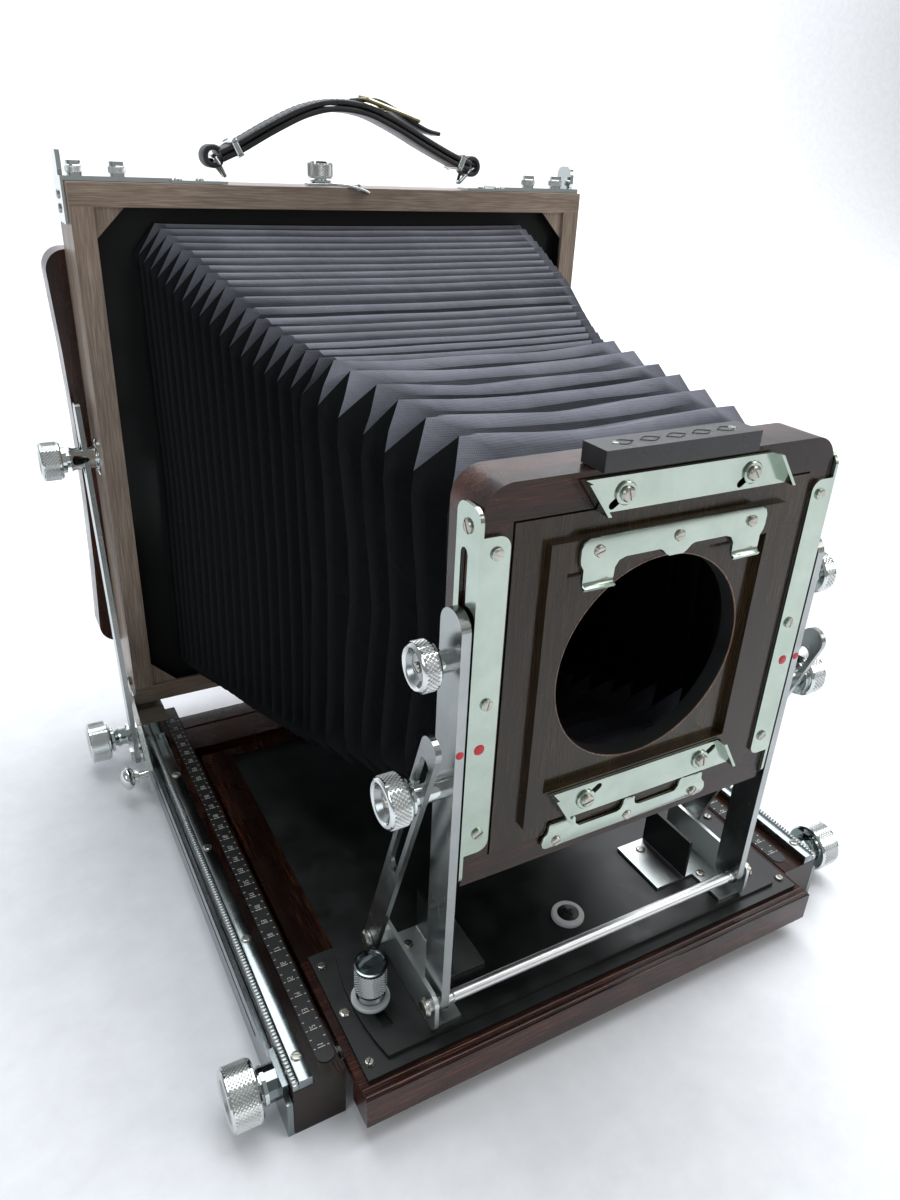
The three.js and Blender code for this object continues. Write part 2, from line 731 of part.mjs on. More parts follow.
/** Angle plate on a front frame stile: front flange with screws, side flange with the rise slot. */
function buildAngle(side) {
  const low = FRONT.base + ANGLE.low;
  const high = FRONT.base + ANGLE.face;
  const outer = frontHalf + GAP;
  const front = frontFace - GAP - SHEET;
  const inner = frontHalf - ANGLE.flange;
  const across = [side * inner, side * angleSideOut].sort((a, b) => a - b);
  const flange = join(
    prism('y', rounded(across, [low, high], ANGLE.corner), front, frontFace - GAP, BENDS),
    box([side * (inner + ANGLE.corner), side * angleSideOut], [front, frontFace - GAP], [low, high]),
  );
  const cheek = prism(
    'x',
    rounded([front, front + ANGLE.side], [FRONT.base + 2, FRONT.base + ANGLE.top], ANGLE.corner),
    side * outer,
    side * angleSideOut,
    BENDS,
  );
  const slotAt = (z) => [-RISE_KNOB.back, FRONT.base + z];
  const slotLow = RISE_KNOB.height - FRONT.base - ANGLE.slotDrop;
  const slot = prism(
    'x',
    capsule(slotAt(slotLow), slotAt(ANGLE.slotTop), ANGLE.slotWidth / 2),
    side * (outer - 1),
    side * (angleSideOut + 1),
  );
  const screws = ANGLE.screws.map((rise) => head('y', [side * (frontHalf - 5.5), low + rise], front, -1));
  return join(cut(join(flange, cheek), slot), ...screws);
}

/** Stepped wooden board with a square seat for a small lens board and its round hole. */
function buildLensBoard() {
  const half = LENS_BOARD.width / 2;
  const base = box(
    [-half, half],
    [lensFace, lensFace + LENS_BOARD.thick],
    [boardLow, boardLow + LENS_BOARD.height],
  );
  const panelLow = boardLow + LENS_BOARD.panelLift;
  const panelHalf = LENS_BOARD.panel[0] / 2;
  const panel = box(
    [-panelHalf, panelHalf],
    [panelFace, lensFace + 1],
    [panelLow, panelLow + LENS_BOARD.panel[1]],
  );
  const seatLow = boardLow + SEAT.lift;
  const seatHalf = SEAT.size / 2;
  const seat = box(
    [-seatHalf, seatHalf],
    [panelFace - 1, panelFace + SEAT.floor],
    [seatLow, seatLow + SEAT.size],
  );
  const hole = bar(
    'y',
    [0, boardLow + SEAT.holeLift],
    SEAT.hole,
    panelFace - 1,
    lensFace + LENS_BOARD.thick + 1,
    56,
  );
  return cut(join(base, panel), seat, hole);
}

/** The fixed brackets and the shifting sliders that hold the lens board and the small board in it. */
function buildBrackets() {
  const frameSheet = lensFace - GAP;
  const boardSheet = panelFace - GAP;
  const top = boardLow + LENS_BOARD.height - TOP_SLIDER.lift;
  piece('top_slider', buildSlider(TOP_SLIDER, frameSheet, top, 1), CHROME);
  const lowEdge = boardLow + SEAT.lift - 1 - LOW_SLIDER.height;
  piece('bottom_slider', buildSlider(LOW_SLIDER, boardSheet, lowEdge, -1), CHROME);

  const bracketLow = boardLow + SEAT.lift + SEAT.size + 3.5;
  const strip = prism(
    'y',
    rounded(
      [-BOARD_BRACKET.width / 2, BOARD_BRACKET.width / 2],
      [bracketLow, bracketLow + BOARD_BRACKET.height],
      4,
    ),
    boardSheet - SHEET,
    boardSheet,
  );
  const hooks = [-1, 1].map((side) => {
    const outer = side * (BOARD_BRACKET.width / 2 - 3);
    return box(
      [outer, outer - side * BOARD_BRACKET.hook],
      [boardSheet - SHEET, boardSheet],
      [bracketLow - BOARD_BRACKET.hookDrop, bracketLow + 4],
    );
  });
  const heads = [-BOARD_BRACKET.screw, 0, BOARD_BRACKET.screw].map((x) => head(
    'y',
    [x, bracketLow + 4.5],
    boardSheet - SHEET,
    -1,
  ));
  piece('top_bracket', join(strip, ...hooks, ...heads), CHROME);

  const railLow = boardLow - FRAME_BRACKET.lift;
  const plate = prism(
    'y',
    rounded(
      [-FRAME_BRACKET.width / 2, FRAME_BRACKET.width / 2],
      [railLow, railLow + FRAME_BRACKET.height],
      3,
    ),
    frameSheet - SHEET,
    frameSheet,
  );
  const posts = [-1, 0, 1].map((side) => {
    const middle = side * (FRAME_BRACKET.width / 2 - 10);
    const half = side === 0 ? 3 : FRAME_BRACKET.hook / 2;
    return box(
      [middle - half, middle + half],
      [frameSheet - SHEET, frameSheet],
      [railLow + 2, railLow + FRAME_BRACKET.height + FRAME_BRACKET.hookRise],
    );
  });
  const screws = [-FRAME_BRACKET.screw, 0, FRAME_BRACKET.screw].map((x) => head(
    'y',
    [x, railLow + 3],
    frameSheet - SHEET,
    -1,
    2.3,
  ));
  piece('bottom_bracket', join(plate, ...posts, ...screws), CHROME);
}

/** A canted plate with turned-up ends and two oblique slots. way is +1 where it opens up and right. */
function buildSlider(size, face, low, way) {
  const high = low + size.height;
  const left = -size.width / 2;
  const right = size.width / 2;
  const outline = [
    [left + size.cant, low],
    [right + size.cant, low],
    [right, high],
    [left, high],
  ];
  const plate = prism('y', outline, face - SHEET, face);
  const ends = [
    [left, left + size.cant, SHEET],
    [right, right + size.cant, -SHEET],
  ].map(([top, bottom, inward]) => {
    const edge = [
      [bottom, low],
      [bottom + inward, low],
      [top + inward, high],
      [top, high],
    ];
    return prism('y', inward > 0 ? edge : edge.reverse(), face - size.bend, face - SHEET / 2);
  });
  const middle = (low + high) / 2;
  const shift = new THREE.Vector2(Math.cos(SLIDER_TILT), Math.sin(SLIDER_TILT)).multiplyScalar(way);
  const slots = [-1, 1].map((side) => {
    const from = new THREE.Vector2(side * size.screw + size.cant / 2, middle);
    const to = from.clone().addScaledVector(shift, -size.slot);
    return prism('y', capsule(from.toArray(), to.toArray(), size.slotWidth / 2), face - 9, face + 1);
  });
  return cut(join(plate, ...ends), ...slots);
}

// ---------------------------------------------------------------- bellows
/** Half width, bottom and top of the bellows at a distance in front of the rear frame. */
function bellowsSection(distance) {
  const last = BELLOWS_STATIONS.length - 1;
  let index = BELLOWS_STATIONS.findIndex((station) => station.at >= distance);
  index = Math.min(Math.max(index < 0 ? last : index, 1), last);
  const [a, b] = [BELLOWS_STATIONS[index - 1], BELLOWS_STATIONS[index]];
  const t = Math.max(0, (distance - a.at) / (b.at - a.at));
  const mix = (key) => THREE.MathUtils.lerp(a[key], b[key], t);
  return { half: mix('half'), low: mix('low'), top: mix('top') };
}

/** A block between two sections of the bellows, pulled in by an inset. */
function bellowsBlock(from, to, inset, overrun) {
  const geometry = new THREE.BoxGeometry(2, 2, 2);
  const { position } = geometry.attributes;
  for (let i = 0; i < position.count; i += 1) {
    const atRear = position.getY(i) > 0;
    const section = bellowsSection(atRear ? from : to);
    const y = atRear ? -from + overrun : -to - overrun;
    const z = position.getZ(i) > 0 ? section.top - inset : section.low + inset;
    position.setXYZ(i, position.getX(i) * (section.half - inset), y, z);
  }
  return solid(geometry);
}

function buildBellows() {
  for (let i = 0; i + 1 < BELLOWS_ENDS.length; i += 1) {
    const from = BELLOWS_ENDS[i] + (i === 0 ? 0 : GAP);
    const to = BELLOWS_ENDS[i + 1];
    const tube = cut(bellowsBlock(from, to, 0, 0), bellowsBlock(from, to, BELLOWS_WALL, 1));
    piece(`bellows_${i + 1}`, tube, CLOTH);
  }
}

// ---------------------------------------------------------------- rear carriages and braces
function buildCarriages() {
  const pivot = [REAR_PIVOT.behind, REAR.base + REAR_PIVOT.above];
  const bracePin = [-BRACE.before, BRACE.height];
  const knobAt = [REAR_FOCUS.behind, REAR_FOCUS.height];
  const lockAt = [-REAR_LOCK.before, REAR_LOCK.height];
  for (const [name, side] of sides) {
    const outline = [
      [-CARRIAGE.front, CARRIAGE.low],
      [RAIL.heel, CARRIAGE.low],
      [CARRIAGE.heel, REAR.base - 8],
      [CARRIAGE.heel, CARRIAGE.top],
      [REAR_PIVOT.behind - 9, CARRIAGE.top],
      [-CARRIAGE.blockFront, CARRIAGE.blockTop],
      [-CARRIAGE.front, CARRIAGE.low + 16],
    ];
    const cheek = prism('x', outline, side * carriageIn, side * carriageOut);
    const stripTop = RAIL.height + GAP + STRIP.height + SCREW.proud;
    const block = box(
      [side * CARRIAGE.inner, side * (carriageIn + 0.5)],
      [-CARRIAGE.blockFront, RAIL.heel],
      [stripTop + 2 * GAP, CARRIAGE.blockTop],
    );
    const pin = bar('x', pivot, REAR_PIVOT.pin, side * (rearHalf - REAR.wall / 2), side * carriageOut);
    const stud = bar('x', bracePin, BRACE.pin, side * carriageOut, side * (braceOut + 2.5));
    const studHead = bar('x', bracePin, 5, side * (braceOut + GAP), side * (braceOut + 2.5));
    const spacer = bar('x', bracePin, 5, side * carriageOut, side * (braceIn - GAP));
    const collar = bar('x', knobAt, 8, side * carriageOut, side * (carriageOut + 4));
    const shaftHole = bar(
      'x',
      knobAt,
      REAR_FOCUS.shaft + GAP,
      side * (carriageIn - 1),
      side * (carriageOut + 5),
    );
    const lockHole = bar(
      'x',
      lockAt,
      REAR_LOCK.stud + GAP,
      side * (carriageIn - 1),
      side * (carriageOut + 1),
    );
    piece(
      `carriage_${name}`,
      cut(join(cheek, block, pin, stud, studHead, spacer, collar), shaftHole, lockHole),
      CHROME,
    );

    const knob = sideKnob(side, knobAt, {
      face: carriageOut + REAR_FOCUS.standOff,
      length: REAR_FOCUS.knobLength,
      radius: REAR_FOCUS.knob,
      stud: REAR_FOCUS.shaft,
      neck: { radius: 6.5, end: carriageOut + 4 + GAP },
      studEnd: carriageIn + GAP,
    });
    piece(`rear_focus_knob_${name}`, knob, CHROME);

    const lock = sideKnob(side, lockAt, {
      face: carriageOut + REAR_LOCK.standOff,
      length: REAR_LOCK.knobLength,
      radius: REAR_LOCK.knob,
      stud: REAR_LOCK.stud,
      neck: { radius: 4.5, end: carriageOut + GAP },
      studEnd: carriageIn + GAP,
    });
    piece(`rear_lock_${name}`, lock, CHROME);

    piece(`brace_${name}`, buildBrace(side), CHROME);

    const tilt = sideKnob(side, [REAR_KNOB.behind, REAR_KNOB.height], {
      face: braceOut + REAR_KNOB.standOff,
      length: REAR_KNOB.length,
      radius: REAR_KNOB.radius,
      stud: REAR_KNOB.stud,
      neck: { radius: 7, end: braceOut + GAP },
      studEnd: rearHalf - REAR.wall / 2,
    });
    piece(`rear_tilt_knob_${name}`, tilt, CHROME);
  }
}

/** Flat slanted bar from the carriage up to the rear frame's knob, slotted at the top. */
function buildBrace(side) {
  const foot = new THREE.Vector2(-BRACE.before, BRACE.height);
  const knob = new THREE.Vector2(REAR_KNOB.behind, REAR_KNOB.height);
  const aim = knob.clone().sub(foot).normalize();
  const reach = (BRACE.top - BRACE.height) / aim.y - BRACE.width / 2;
  const at = (point, distance) => point.clone().addScaledVector(aim, distance).toArray();
  const blade = prism(
    'x',
    capsule(foot.toArray(), at(foot, reach), BRACE.width / 2),
    side * braceIn,
    side * braceOut,
    BENDS,
  );
  const slot = prism(
    'x',
    capsule(at(knob, -BRACE.slot / 2), at(knob, BRACE.slot / 2), BRACE.slotWidth / 2),
    side * (braceIn - 1),
    side * (braceOut + 1),
  );
  const hole = bar('x', foot.toArray(), BRACE.pin + GAP, side * (braceIn - 1), side * (braceOut + 1));
  return cut(blade, slot, hole);
}

// ---------------------------------------------------------------- rear frame, back and top fittings
function buildRear() {
  const inner = rearHalf - REAR.wall;
  const shell = box([-rearHalf, rearHalf], [0, REAR.depth], [REAR.base, rearTop]);
  const hollow = box([-inner, inner], [-1, REAR.depth + 1], [REAR.base + REAR.wall, rearTop - REAR.wall]);
  const linerLow = REAR.base + LINER.lift;
  const liner = cut(
    box(
      [-inner - 1, inner + 1],
      [LINER.front, LINER.front + LINER.thick],
      [REAR.base + REAR.wall - 1, rearTop - REAR.wall + 1],
    ),
    box(
      [-LINER.opening[0] / 2, LINER.opening[0] / 2],
      [0, REAR.depth],
      [linerLow, linerLow + LINER.opening[1]],
    ),
  );
  const gussets = [-1, 1].flatMap((side) => [
    gusset(side * inner, REAR.base + REAR.wall, side, 1),
    gusset(side * inner, rearTop - REAR.wall, side, -1),
  ]);
  const pinHoles = sides.flatMap(([, side]) => [
    bar(
      'x',
      [REAR_PIVOT.behind, REAR.base + REAR_PIVOT.above],
      REAR_PIVOT.pin + GAP,
      side * (rearHalf - REAR.wall / 2 - GAP),
      side * (rearHalf + 1),
    ),
    bar(
      'x',
      [REAR_KNOB.behind, REAR_KNOB.height],
      REAR_KNOB.stud + GAP,
      side * (rearHalf - REAR.wall / 2 - GAP),
      side * (rearHalf + 1),
    ),
  ]);
  // closes the frame behind, so that light reaches only the ground glass or the film
  const low = REAR.base + BACK.low;
  const panel = cut(
    box(
      [-inner - 1, inner + 1],
      [REAR.depth - REAR.panel, REAR.depth],
      [REAR.base + REAR.wall - 1, rearTop - REAR.wall + 1],
    ),
    box(
      [-BACK_OPENING[0] / 2, BACK_OPENING[0] / 2],
      [0, REAR.depth + 1],
      [low + BACK.sill, low + BACK.sill + BACK_OPENING[1]],
    ),
  );
  piece('rear_frame', cut(join(cut(shell, hollow), liner, panel, ...gussets), ...pinHoles), WOOD);

  const high = rearTop - BACK.high;
  const half = rearHalf + BACK.overhang;
  const ring = cut(
    prism('y', backOutline(half, low, high), backPlane, backEnd, BENDS),
    box(
      [-BACK_OPENING[0] / 2, BACK_OPENING[0] / 2],
      [0, backEnd + 1],
      [low + BACK.sill, low + BACK.sill + BACK_OPENING[1]],
    ),
    box(
      [-BACK_OPENING[0] / 2 - GLASS.lip, BACK_OPENING[0] / 2 + GLASS.lip],
      [0, backPlane + GLASS.setback + GLASS.thick + 2 * GAP],
      [low + BACK.sill - GLASS.lip, low + BACK.sill + BACK_OPENING[1] + GLASS.lip],
    ),
  );
  piece('back_frame', ring, WOOD);
  const edge = GLASS.lip - GAP;
  const glassFront = backPlane + GLASS.setback;
  const glass = box(
    [-BACK_OPENING[0] / 2 - edge, BACK_OPENING[0] / 2 + edge],
    [glassFront, glassFront + GLASS.thick],
    [low + BACK.sill - edge, low + BACK.sill + BACK_OPENING[1] + edge],
  );
  piece('ground_glass', glass, FROSTED);

  for (const [name, side] of sides) piece(`top_plate_${name}`, buildTopPlate(side), CHROME);
  piece('handle_strap', buildHandle(), LEATHER);
  const at = [LATCH.shift, LATCH.behind];
  const neck = bar('z', at, LATCH.neck, rearTop + GAP, rearTop + LATCH.low + 1);
  const grip = bar('z', at, LATCH.radius, rearTop + LATCH.low, rearTop + LATCH.top, KNOB_SIDES);
  piece('latch_knob', join(neck, grip), CHROME);
}

/** Three-cornered block in a corner of the rear frame. */
function gusset(x, z, side, up) {
  const corner = [
    [x + side, z - up],
    [x - side * REAR.gusset, z - up],
    [x - side * REAR.gusset, z],
    [x, z + up * REAR.gusset],
    [x + side, z + up * REAR.gusset],
  ];
  const outline = side * up > 0 ? corner.reverse() : corner;
  return prism('y', outline, 2, LINER.front + 1);
}

/** Back seen from behind: rounded corners and slightly waisted sides. */
function backOutline(half, low, high) {
  const shape = new THREE.Shape();
  const radius = BACK.corner;
  const middle = (low + high) / 2;
  shape.absarc(half - radius, low + radius, radius, -Math.PI / 2, 0, false);
  shape.quadraticCurveTo(half - 2 * BACK.waist, middle, half, high - radius);
  shape.absarc(half - radius, high - radius, radius, 0, Math.PI / 2, false);
  shape.absarc(-half + radius, high - radius, radius, Math.PI / 2, Math.PI, false);
  shape.quadraticCurveTo(-half + 2 * BACK.waist, middle, -half, low + radius);
  shape.absarc(-half + radius, low + radius, radius, Math.PI, 1.5 * Math.PI, false);
  return shape;
}

/** Corner plate that wraps over the frame's edge, with its tab, bolts and the handle's lug. */
function buildTopPlate(side) {
  const low = rearTop + GAP;
  const top = low + TOP_PLATE.thick;
  const out = rearHalf + GAP + SHEET;
  const plate = box([side * TOP_PLATE.inner, side * out], [TOP_PLATE.front, TOP_PLATE.back], [low, top]);
  const wrap = box(
    [side * (rearHalf + GAP), side * out],
    [TOP_PLATE.front, TOP_PLATE.back],
    [rearTop - TOP_PLATE.wrap, top],
  );
  const tabMiddle = (TOP_PLATE.front + TOP_PLATE.back) / 2;
  const tabOutline = rounded(
    [tabMiddle - TOP_PLATE.tab[0] / 2, tabMiddle + TOP_PLATE.tab[0] / 2],
    [low, rearTop + TOP_PLATE.tab[1]],
    5,
  );
  const tab = prism('x', tabOutline, side * (out - TOP_PLATE.tabThick), side * out);
  const bolts = TOP_PLATE.bolts.map((x) => bar(
    'z',
    [side * x, tabMiddle],
    TOP_PLATE.bolt,
    low + 1,
    top + TOP_PLATE.boltTop,
    20,
  ));
  const lug = box(
    [side * LUG.inner, side * (TOP_PLATE.inner + 1)],
    [LUG.front, LUG.back],
    [low, low + LUG.thick],
  );
  return join(plate, wrap, tab, lug, ...bolts);
}

/** Arched strap standing on two narrow ring links, which turn on the lugs. */
function buildHandle() {
  const foot = rearTop + HANDLE.foot;
  const radius = (HANDLE.half ** 2 + HANDLE.rise ** 2) / (2 * HANDLE.rise);
  const centre = foot + HANDLE.rise - radius;
  const reach = Math.asin(HANDLE.half / radius);
  const from = Math.PI / 2 - reach;
  const to = Math.PI / 2 + reach;
  const shape = new THREE.Shape();
  shape.absarc(0, centre, radius + HANDLE.thick / 2, from, to, false);
  shape.absarc(0, centre, radius - HANDLE.thick / 2, to, from, true);
  const points = shape.getPoints(14);
  const half = HANDLE.width / 2;
  const strap = prism('y', points.map((p) => [p.x, p.y]), HANDLE.behind - half, HANDLE.behind + half);
  const links = sides.flatMap(([, side]) => {
    const x = [side * (HANDLE.half - HANDLE.stem / 2), side * (HANDLE.half + HANDLE.stem / 2)];
    const pivot = rearTop + HANDLE.pivot;
    const stem = box(x, [HANDLE.behind - HANDLE.knuckle, HANDLE.behind + HANDLE.knuckle], [pivot, foot + 1]);
    return [stem, bar('x', [HANDLE.behind, pivot], HANDLE.knuckle, ...span(...x), 16)];
  });
  return join(strap, ...links);
}

buildBed();
buildSlide();
buildSwing();
buildLegs();
buildFront();
buildBellows();
buildCarriages();
buildRear();

export default camera;
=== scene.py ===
"""Wooden view camera: finishes, bellows folds, knurled knobs and small fittings on the fixed frame."""
import math

import bpy
from mathutils import Euler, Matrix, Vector


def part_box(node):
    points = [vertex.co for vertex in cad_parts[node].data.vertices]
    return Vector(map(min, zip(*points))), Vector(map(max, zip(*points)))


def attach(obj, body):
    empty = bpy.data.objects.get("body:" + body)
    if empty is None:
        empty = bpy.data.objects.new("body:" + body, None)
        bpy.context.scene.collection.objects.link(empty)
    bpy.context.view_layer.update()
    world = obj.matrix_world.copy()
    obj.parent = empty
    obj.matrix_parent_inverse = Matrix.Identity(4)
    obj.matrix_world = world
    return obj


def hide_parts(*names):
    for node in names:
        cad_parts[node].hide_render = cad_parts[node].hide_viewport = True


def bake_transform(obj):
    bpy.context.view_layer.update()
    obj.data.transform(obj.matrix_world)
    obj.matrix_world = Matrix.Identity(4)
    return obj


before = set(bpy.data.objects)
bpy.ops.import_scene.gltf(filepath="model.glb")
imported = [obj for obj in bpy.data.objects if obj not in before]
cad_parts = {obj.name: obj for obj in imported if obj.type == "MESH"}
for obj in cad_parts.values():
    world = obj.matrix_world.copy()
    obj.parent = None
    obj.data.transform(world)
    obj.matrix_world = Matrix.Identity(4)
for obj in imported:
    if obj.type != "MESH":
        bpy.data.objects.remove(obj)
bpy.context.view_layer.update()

MM = 0.001
SIDES = (("left", -1), ("right", 1))


def corners(node):
    """Lowest and highest corners of a CAD node, in millimetres."""
    low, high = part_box(node)
    return Vector(low) / MM, Vector(high) / MM


REAR_LOW, REAR_HIGH = corners("rear_frame")
FRONT_LOW, FRONT_HIGH = corners("front_frame")
REAR_PLANE = REAR_LOW.y  # front face of the rear frame


# ---------------------------------------------------------------- shapes
class Shape:
    """Points and faces of one piece, in millimetres, with a finish number for each face."""

    def __init__(self):
        self.points = []
        self.faces = []
        self.finishes = []

    def add(self, points, faces, finish=0):
        start = len(self.points)
        self.points += [Vector(p) for p in points]
        self.faces += [[start + i for i in face] for face in faces]
        self.finishes += [finish] * len(faces)

    def make(self, name, materials, body=None, bevel=0.0, crease=32):
        mesh = bpy.data.meshes.new(name)
        mesh.from_pydata([p * MM for p in self.points], [], self.faces)
        for material in materials:
            mesh.materials.append(material)
        mesh.polygons.foreach_set("material_index", self.finishes)
        mesh.update()
        mesh.shade_smooth()
        mesh.set_sharp_from_angle(angle=math.radians(crease))
        piece = bpy.data.objects.new(name, mesh)
        bpy.context.scene.collection.objects.link(piece)
        if bevel:
            soften(piece, bevel)
        if body:
            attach(piece, body)
        return piece


def frame_of(axis):
    """Two directions square to an axis, and the axis itself."""
    along = Vector(axis).normalized()
    across = Vector((0, 0, 1)) if abs(along.z) < 0.9 else Vector((0, 1, 0))
    up = (across - along * across.dot(along)).normalized()
    return along.cross(up), up, along


def grid(shape, rows, closed=True, finish=0):
    """Quads between rows of points; each row closes on itself when closed is true."""
    count = len(rows[0])
    faces = []
    for i in range(len(rows) - 1):
        for j in range(count if closed else count - 1):
            k = (j + 1) % count
            faces.append([i * count + j, i * count + k, (i + 1) * count + k, (i + 1) * count + j])
    shape.add([p for row in rows for p in row], faces, finish)


def turned(shape, origin, axis, profile, sides=36, finish=0, capped=True):
    """A turned part: profile holds (radius, height along the axis).

    Its ends are closed unless it is a ring.
    """
    u, v, w = frame_of(axis)
    origin = Vector(origin)
    rows = []
    for radius, height in profile:
        turn = [2 * math.pi * i / sides for i in range(sides)]
        rows.append(
            [origin + w * height + (u * math.cos(a) + v * math.sin(a)) * max(radius, 0.01) for a in turn]
        )
    grid(shape, rows, finish=finish)
    if not capped:
        return
    for row, flip in ((rows[0], True), (rows[-1], False)):
        face = list(range(sides))
        shape.add(row, [face[::-1] if flip else face], finish)


def knurled(shape, origin, axis, radius, low, high, pitch=1.5, depth=0.42, finish=0):
    """Diamond knurl: four-sided points in a staggered lattice between two heights."""
    u, v, w = frame_of(axis)
    columns = 2 * round(math.pi * 2 * radius / pitch)
    rows = 2 * max(2, round((high - low) / pitch))
    points = []
    for i in range(rows + 1):
        height = low + (high - low) * i / rows
        for j in range(columns):
            peak = (i + j) % 2 == 0 and 0 < i < rows
            r = radius if peak else radius - depth
            a = 2 * math.pi * j / columns
            points.append(Vector(origin) + w * height + (u * math.cos(a) + v * math.sin(a)) * r)
    faces = []
    for i in range(rows):
        for j in range(columns):
            a, b = i * columns + j, i * columns + (j + 1) % columns
            c, d = b + columns, a + columns
            if (i + j) % 2 == 0:
                faces += [[a, b, d], [b, c, d]]
            else:
                faces += [[a, b, c], [a, c, d]]
    shape.add(points, faces, finish)


def prism(shape, outline, axis, low, high, finish=0):
    """An outline pushed along x, y or z. The outline is in the two other axes, in order."""
    place = {
        "x": lambda p, q: (q, p[0], p[1]),
        "y": lambda p, q: (p[0], q, p[1]),
        "z": lambda p, q: (p[0], p[1], q),
    }[axis]
    area = sum(a[0] * b[1] - b[0] * a[1] for a, b in zip(outline, outline[1:] + outline[:1]))
    flip = (area < 0) != (axis == "y")
    count = len(outline)
    points = [place(p, low) for p in outline] + [place(p, high) for p in outline]
    faces = [list(range(count))[::-1], list(range(count, 2 * count))]
    faces += [[i, (i + 1) % count, (i + 1) % count + count, i + count] for i in range(count)]
    shape.add(points, [f[::-1] for f in faces] if flip else faces, finish)


def block(shape, low, high, finish=0):
    outline = [(low[0], low[1]), (high[0], low[1]), (high[0], high[1]), (low[0], high[1])]
    prism(shape, outline, "z", low[2], high[2], finish)


def screw(shape, origin, axis, radius=2.9, proud=1.3, turn=0.6, finish=0):
    """Round-headed screw with a slot: a collar and two domed halves."""
    u, v, w = frame_of(axis)
    u, v = u * math.cos(turn) + v * math.sin(turn), v * math.cos(turn) - u * math.sin(turn)
    origin = Vector(origin)
    floor = proud * 0.72
    turned(shape, origin, axis, [(radius, 0), (radius, floor * 0.7), (radius * 0.9, floor)], 20, finish)
    gap = radius * 0.13
    for side in (-1, 1):
        rings = []
        for scale, height in ((0.93, floor - 0.05), (0.84, proud * 0.9), (0.6, proud)):
            reach = math.acos(gap / (radius * scale))
            arc = [-reach + 2 * reach * i / 8 for i in range(9)]
            ring = [(math.sin(a) * radius * scale, math.cos(a) * radius * scale) for a in arc]
            rings.append([origin + w * height + u * x * side + v * y * side for x, y in ring])
        rows = [ring[::-1] for ring in rings]
        grid(shape, rows, finish=finish)
        shape.add(rows[-1], [list(range(9))], finish)


def swept(shape, path, section, side=(0, 1, 0), closed=False, finish=0):
    """A section carried along a path. The section's first axis is side, its second the path's normal."""
    rows = []
    count = len(path)
    for i, point in enumerate(path):
        after = path[(i + 1) % count] if closed or i + 1 < count else point
        before = path[i - 1] if closed or i else point
        tangent = (Vector(after) - Vector(before)).normalized()
        s = Vector(side)
        s = (s - tangent * s.dot(tangent)).normalized()
        n = tangent.cross(s)
        rows.append([Vector(point) + s * a + n * b for a, b in section])
    if closed:
        rows.append(rows[0])
    grid(shape, rows, finish=finish)
    if not closed:
        last = list(range(len(section)))
        shape.add(rows[0], [last[::-1]], finish)
        shape.add(rows[-1], [last], finish)


def circle(radius, sides=12):
    return [
        (radius * math.cos(2 * math.pi * i / sides), radius * math.sin(2 * math.pi * i / sides))
        for i in range(sides)
    ]


def band(width, thick, round_by=0.8):
    """Cross-section of a strap or flat wire with rounded edges."""
    points = []
    for cx, cy, start in ((1, 1, 0), (-1, 1, 90), (-1, -1, 180), (1, -1, 270)):
        for i in range(4):
            a = math.radians(start + 30 * i)
            x = cx * (width / 2 - round_by) + round_by * math.cos(a)
            points.append((x, cy * (thick / 2 - round_by) + round_by * math.sin(a)))
    return points


def curve_through(points, steps=8):
    """A smooth line through points (Catmull-Rom)."""
    pts = [Vector(p) for p in points]
    pts = [pts[0] * 2 - pts[1]] + pts + [pts[-1] * 2 - pts[-2]]
    line = []
    for a, b, c, d in zip(pts, pts[1:], pts[2:], pts[3:]):
        for i in range(steps):
            t = i / steps
            line.append(
                (
                    (b * 2) + (c - a) * t + (a * 2 - b * 5 + c * 4 - d) * t**2
                    + (b * 3 - a - c * 3 + d) * t**3
                ) / 2
            )
    line.append(pts[-2])
    return line


def smooth_group():
    """Modifier that shades soft bends smooth and keeps edges sharper than 28 degrees."""
    tree = bpy.data.node_groups.new("soft_bends", "GeometryNodeTree")
    tree.interface.new_socket("Geometry", in_out="INPUT", socket_type="NodeSocketGeometry")
    tree.interface.new_socket("Geometry", in_out="OUTPUT", socket_type="NodeSocketGeometry")
    start = tree.nodes.new("NodeGroupInput")
    end = tree.nodes.new("NodeGroupOutput")
    angle = tree.nodes.new("GeometryNodeInputMeshEdgeAngle")
    small = node(
        tree, "ShaderNodeMath", {0: angle.outputs["Unsigned Angle"], 1: math.radians(28)},
        operation="LESS_THAN"
    )
    faces = node(
        tree, "GeometryNodeSetShadeSmooth", {"Geometry": start.outputs[0], "Shade Smooth": True},
        domain="FACE"
    )
    edges = node(
        tree, "GeometryNodeSetShadeSmooth", {"Geometry": faces.outputs[0], "Shade Smooth": small.outputs[0]},
        domain="EDGE"
    )
    tree.links.new(edges.outputs[0], end.inputs[0])
    return tree


def soften(piece, width=0.35):
    """Rounds a piece's edges a little so that they catch the light."""
    bevel = piece.modifiers.new("edges", "BEVEL")
    bevel.width = width * MM
    bevel.segments = 2
    bevel.limit_method = "ANGLE"
    bevel.angle_limit = math.radians(35)
    bevel.use_clamp_overlap = True
    bends = piece.modifiers.new("bends", "NODES")
    bends.node_group = SOFT_BENDS


# ---------------------------------------------------------------- finishes
def hexed(value):
    """sRGB hex to linear colour."""
    channels = [int(value[i : i + 2], 16) / 255 for i in (1, 3, 5)]
    return [c / 12.92 if c <= 0.04045 else ((c + 0.055) / 1.055) ** 2.4 for c in channels] + [1.0]


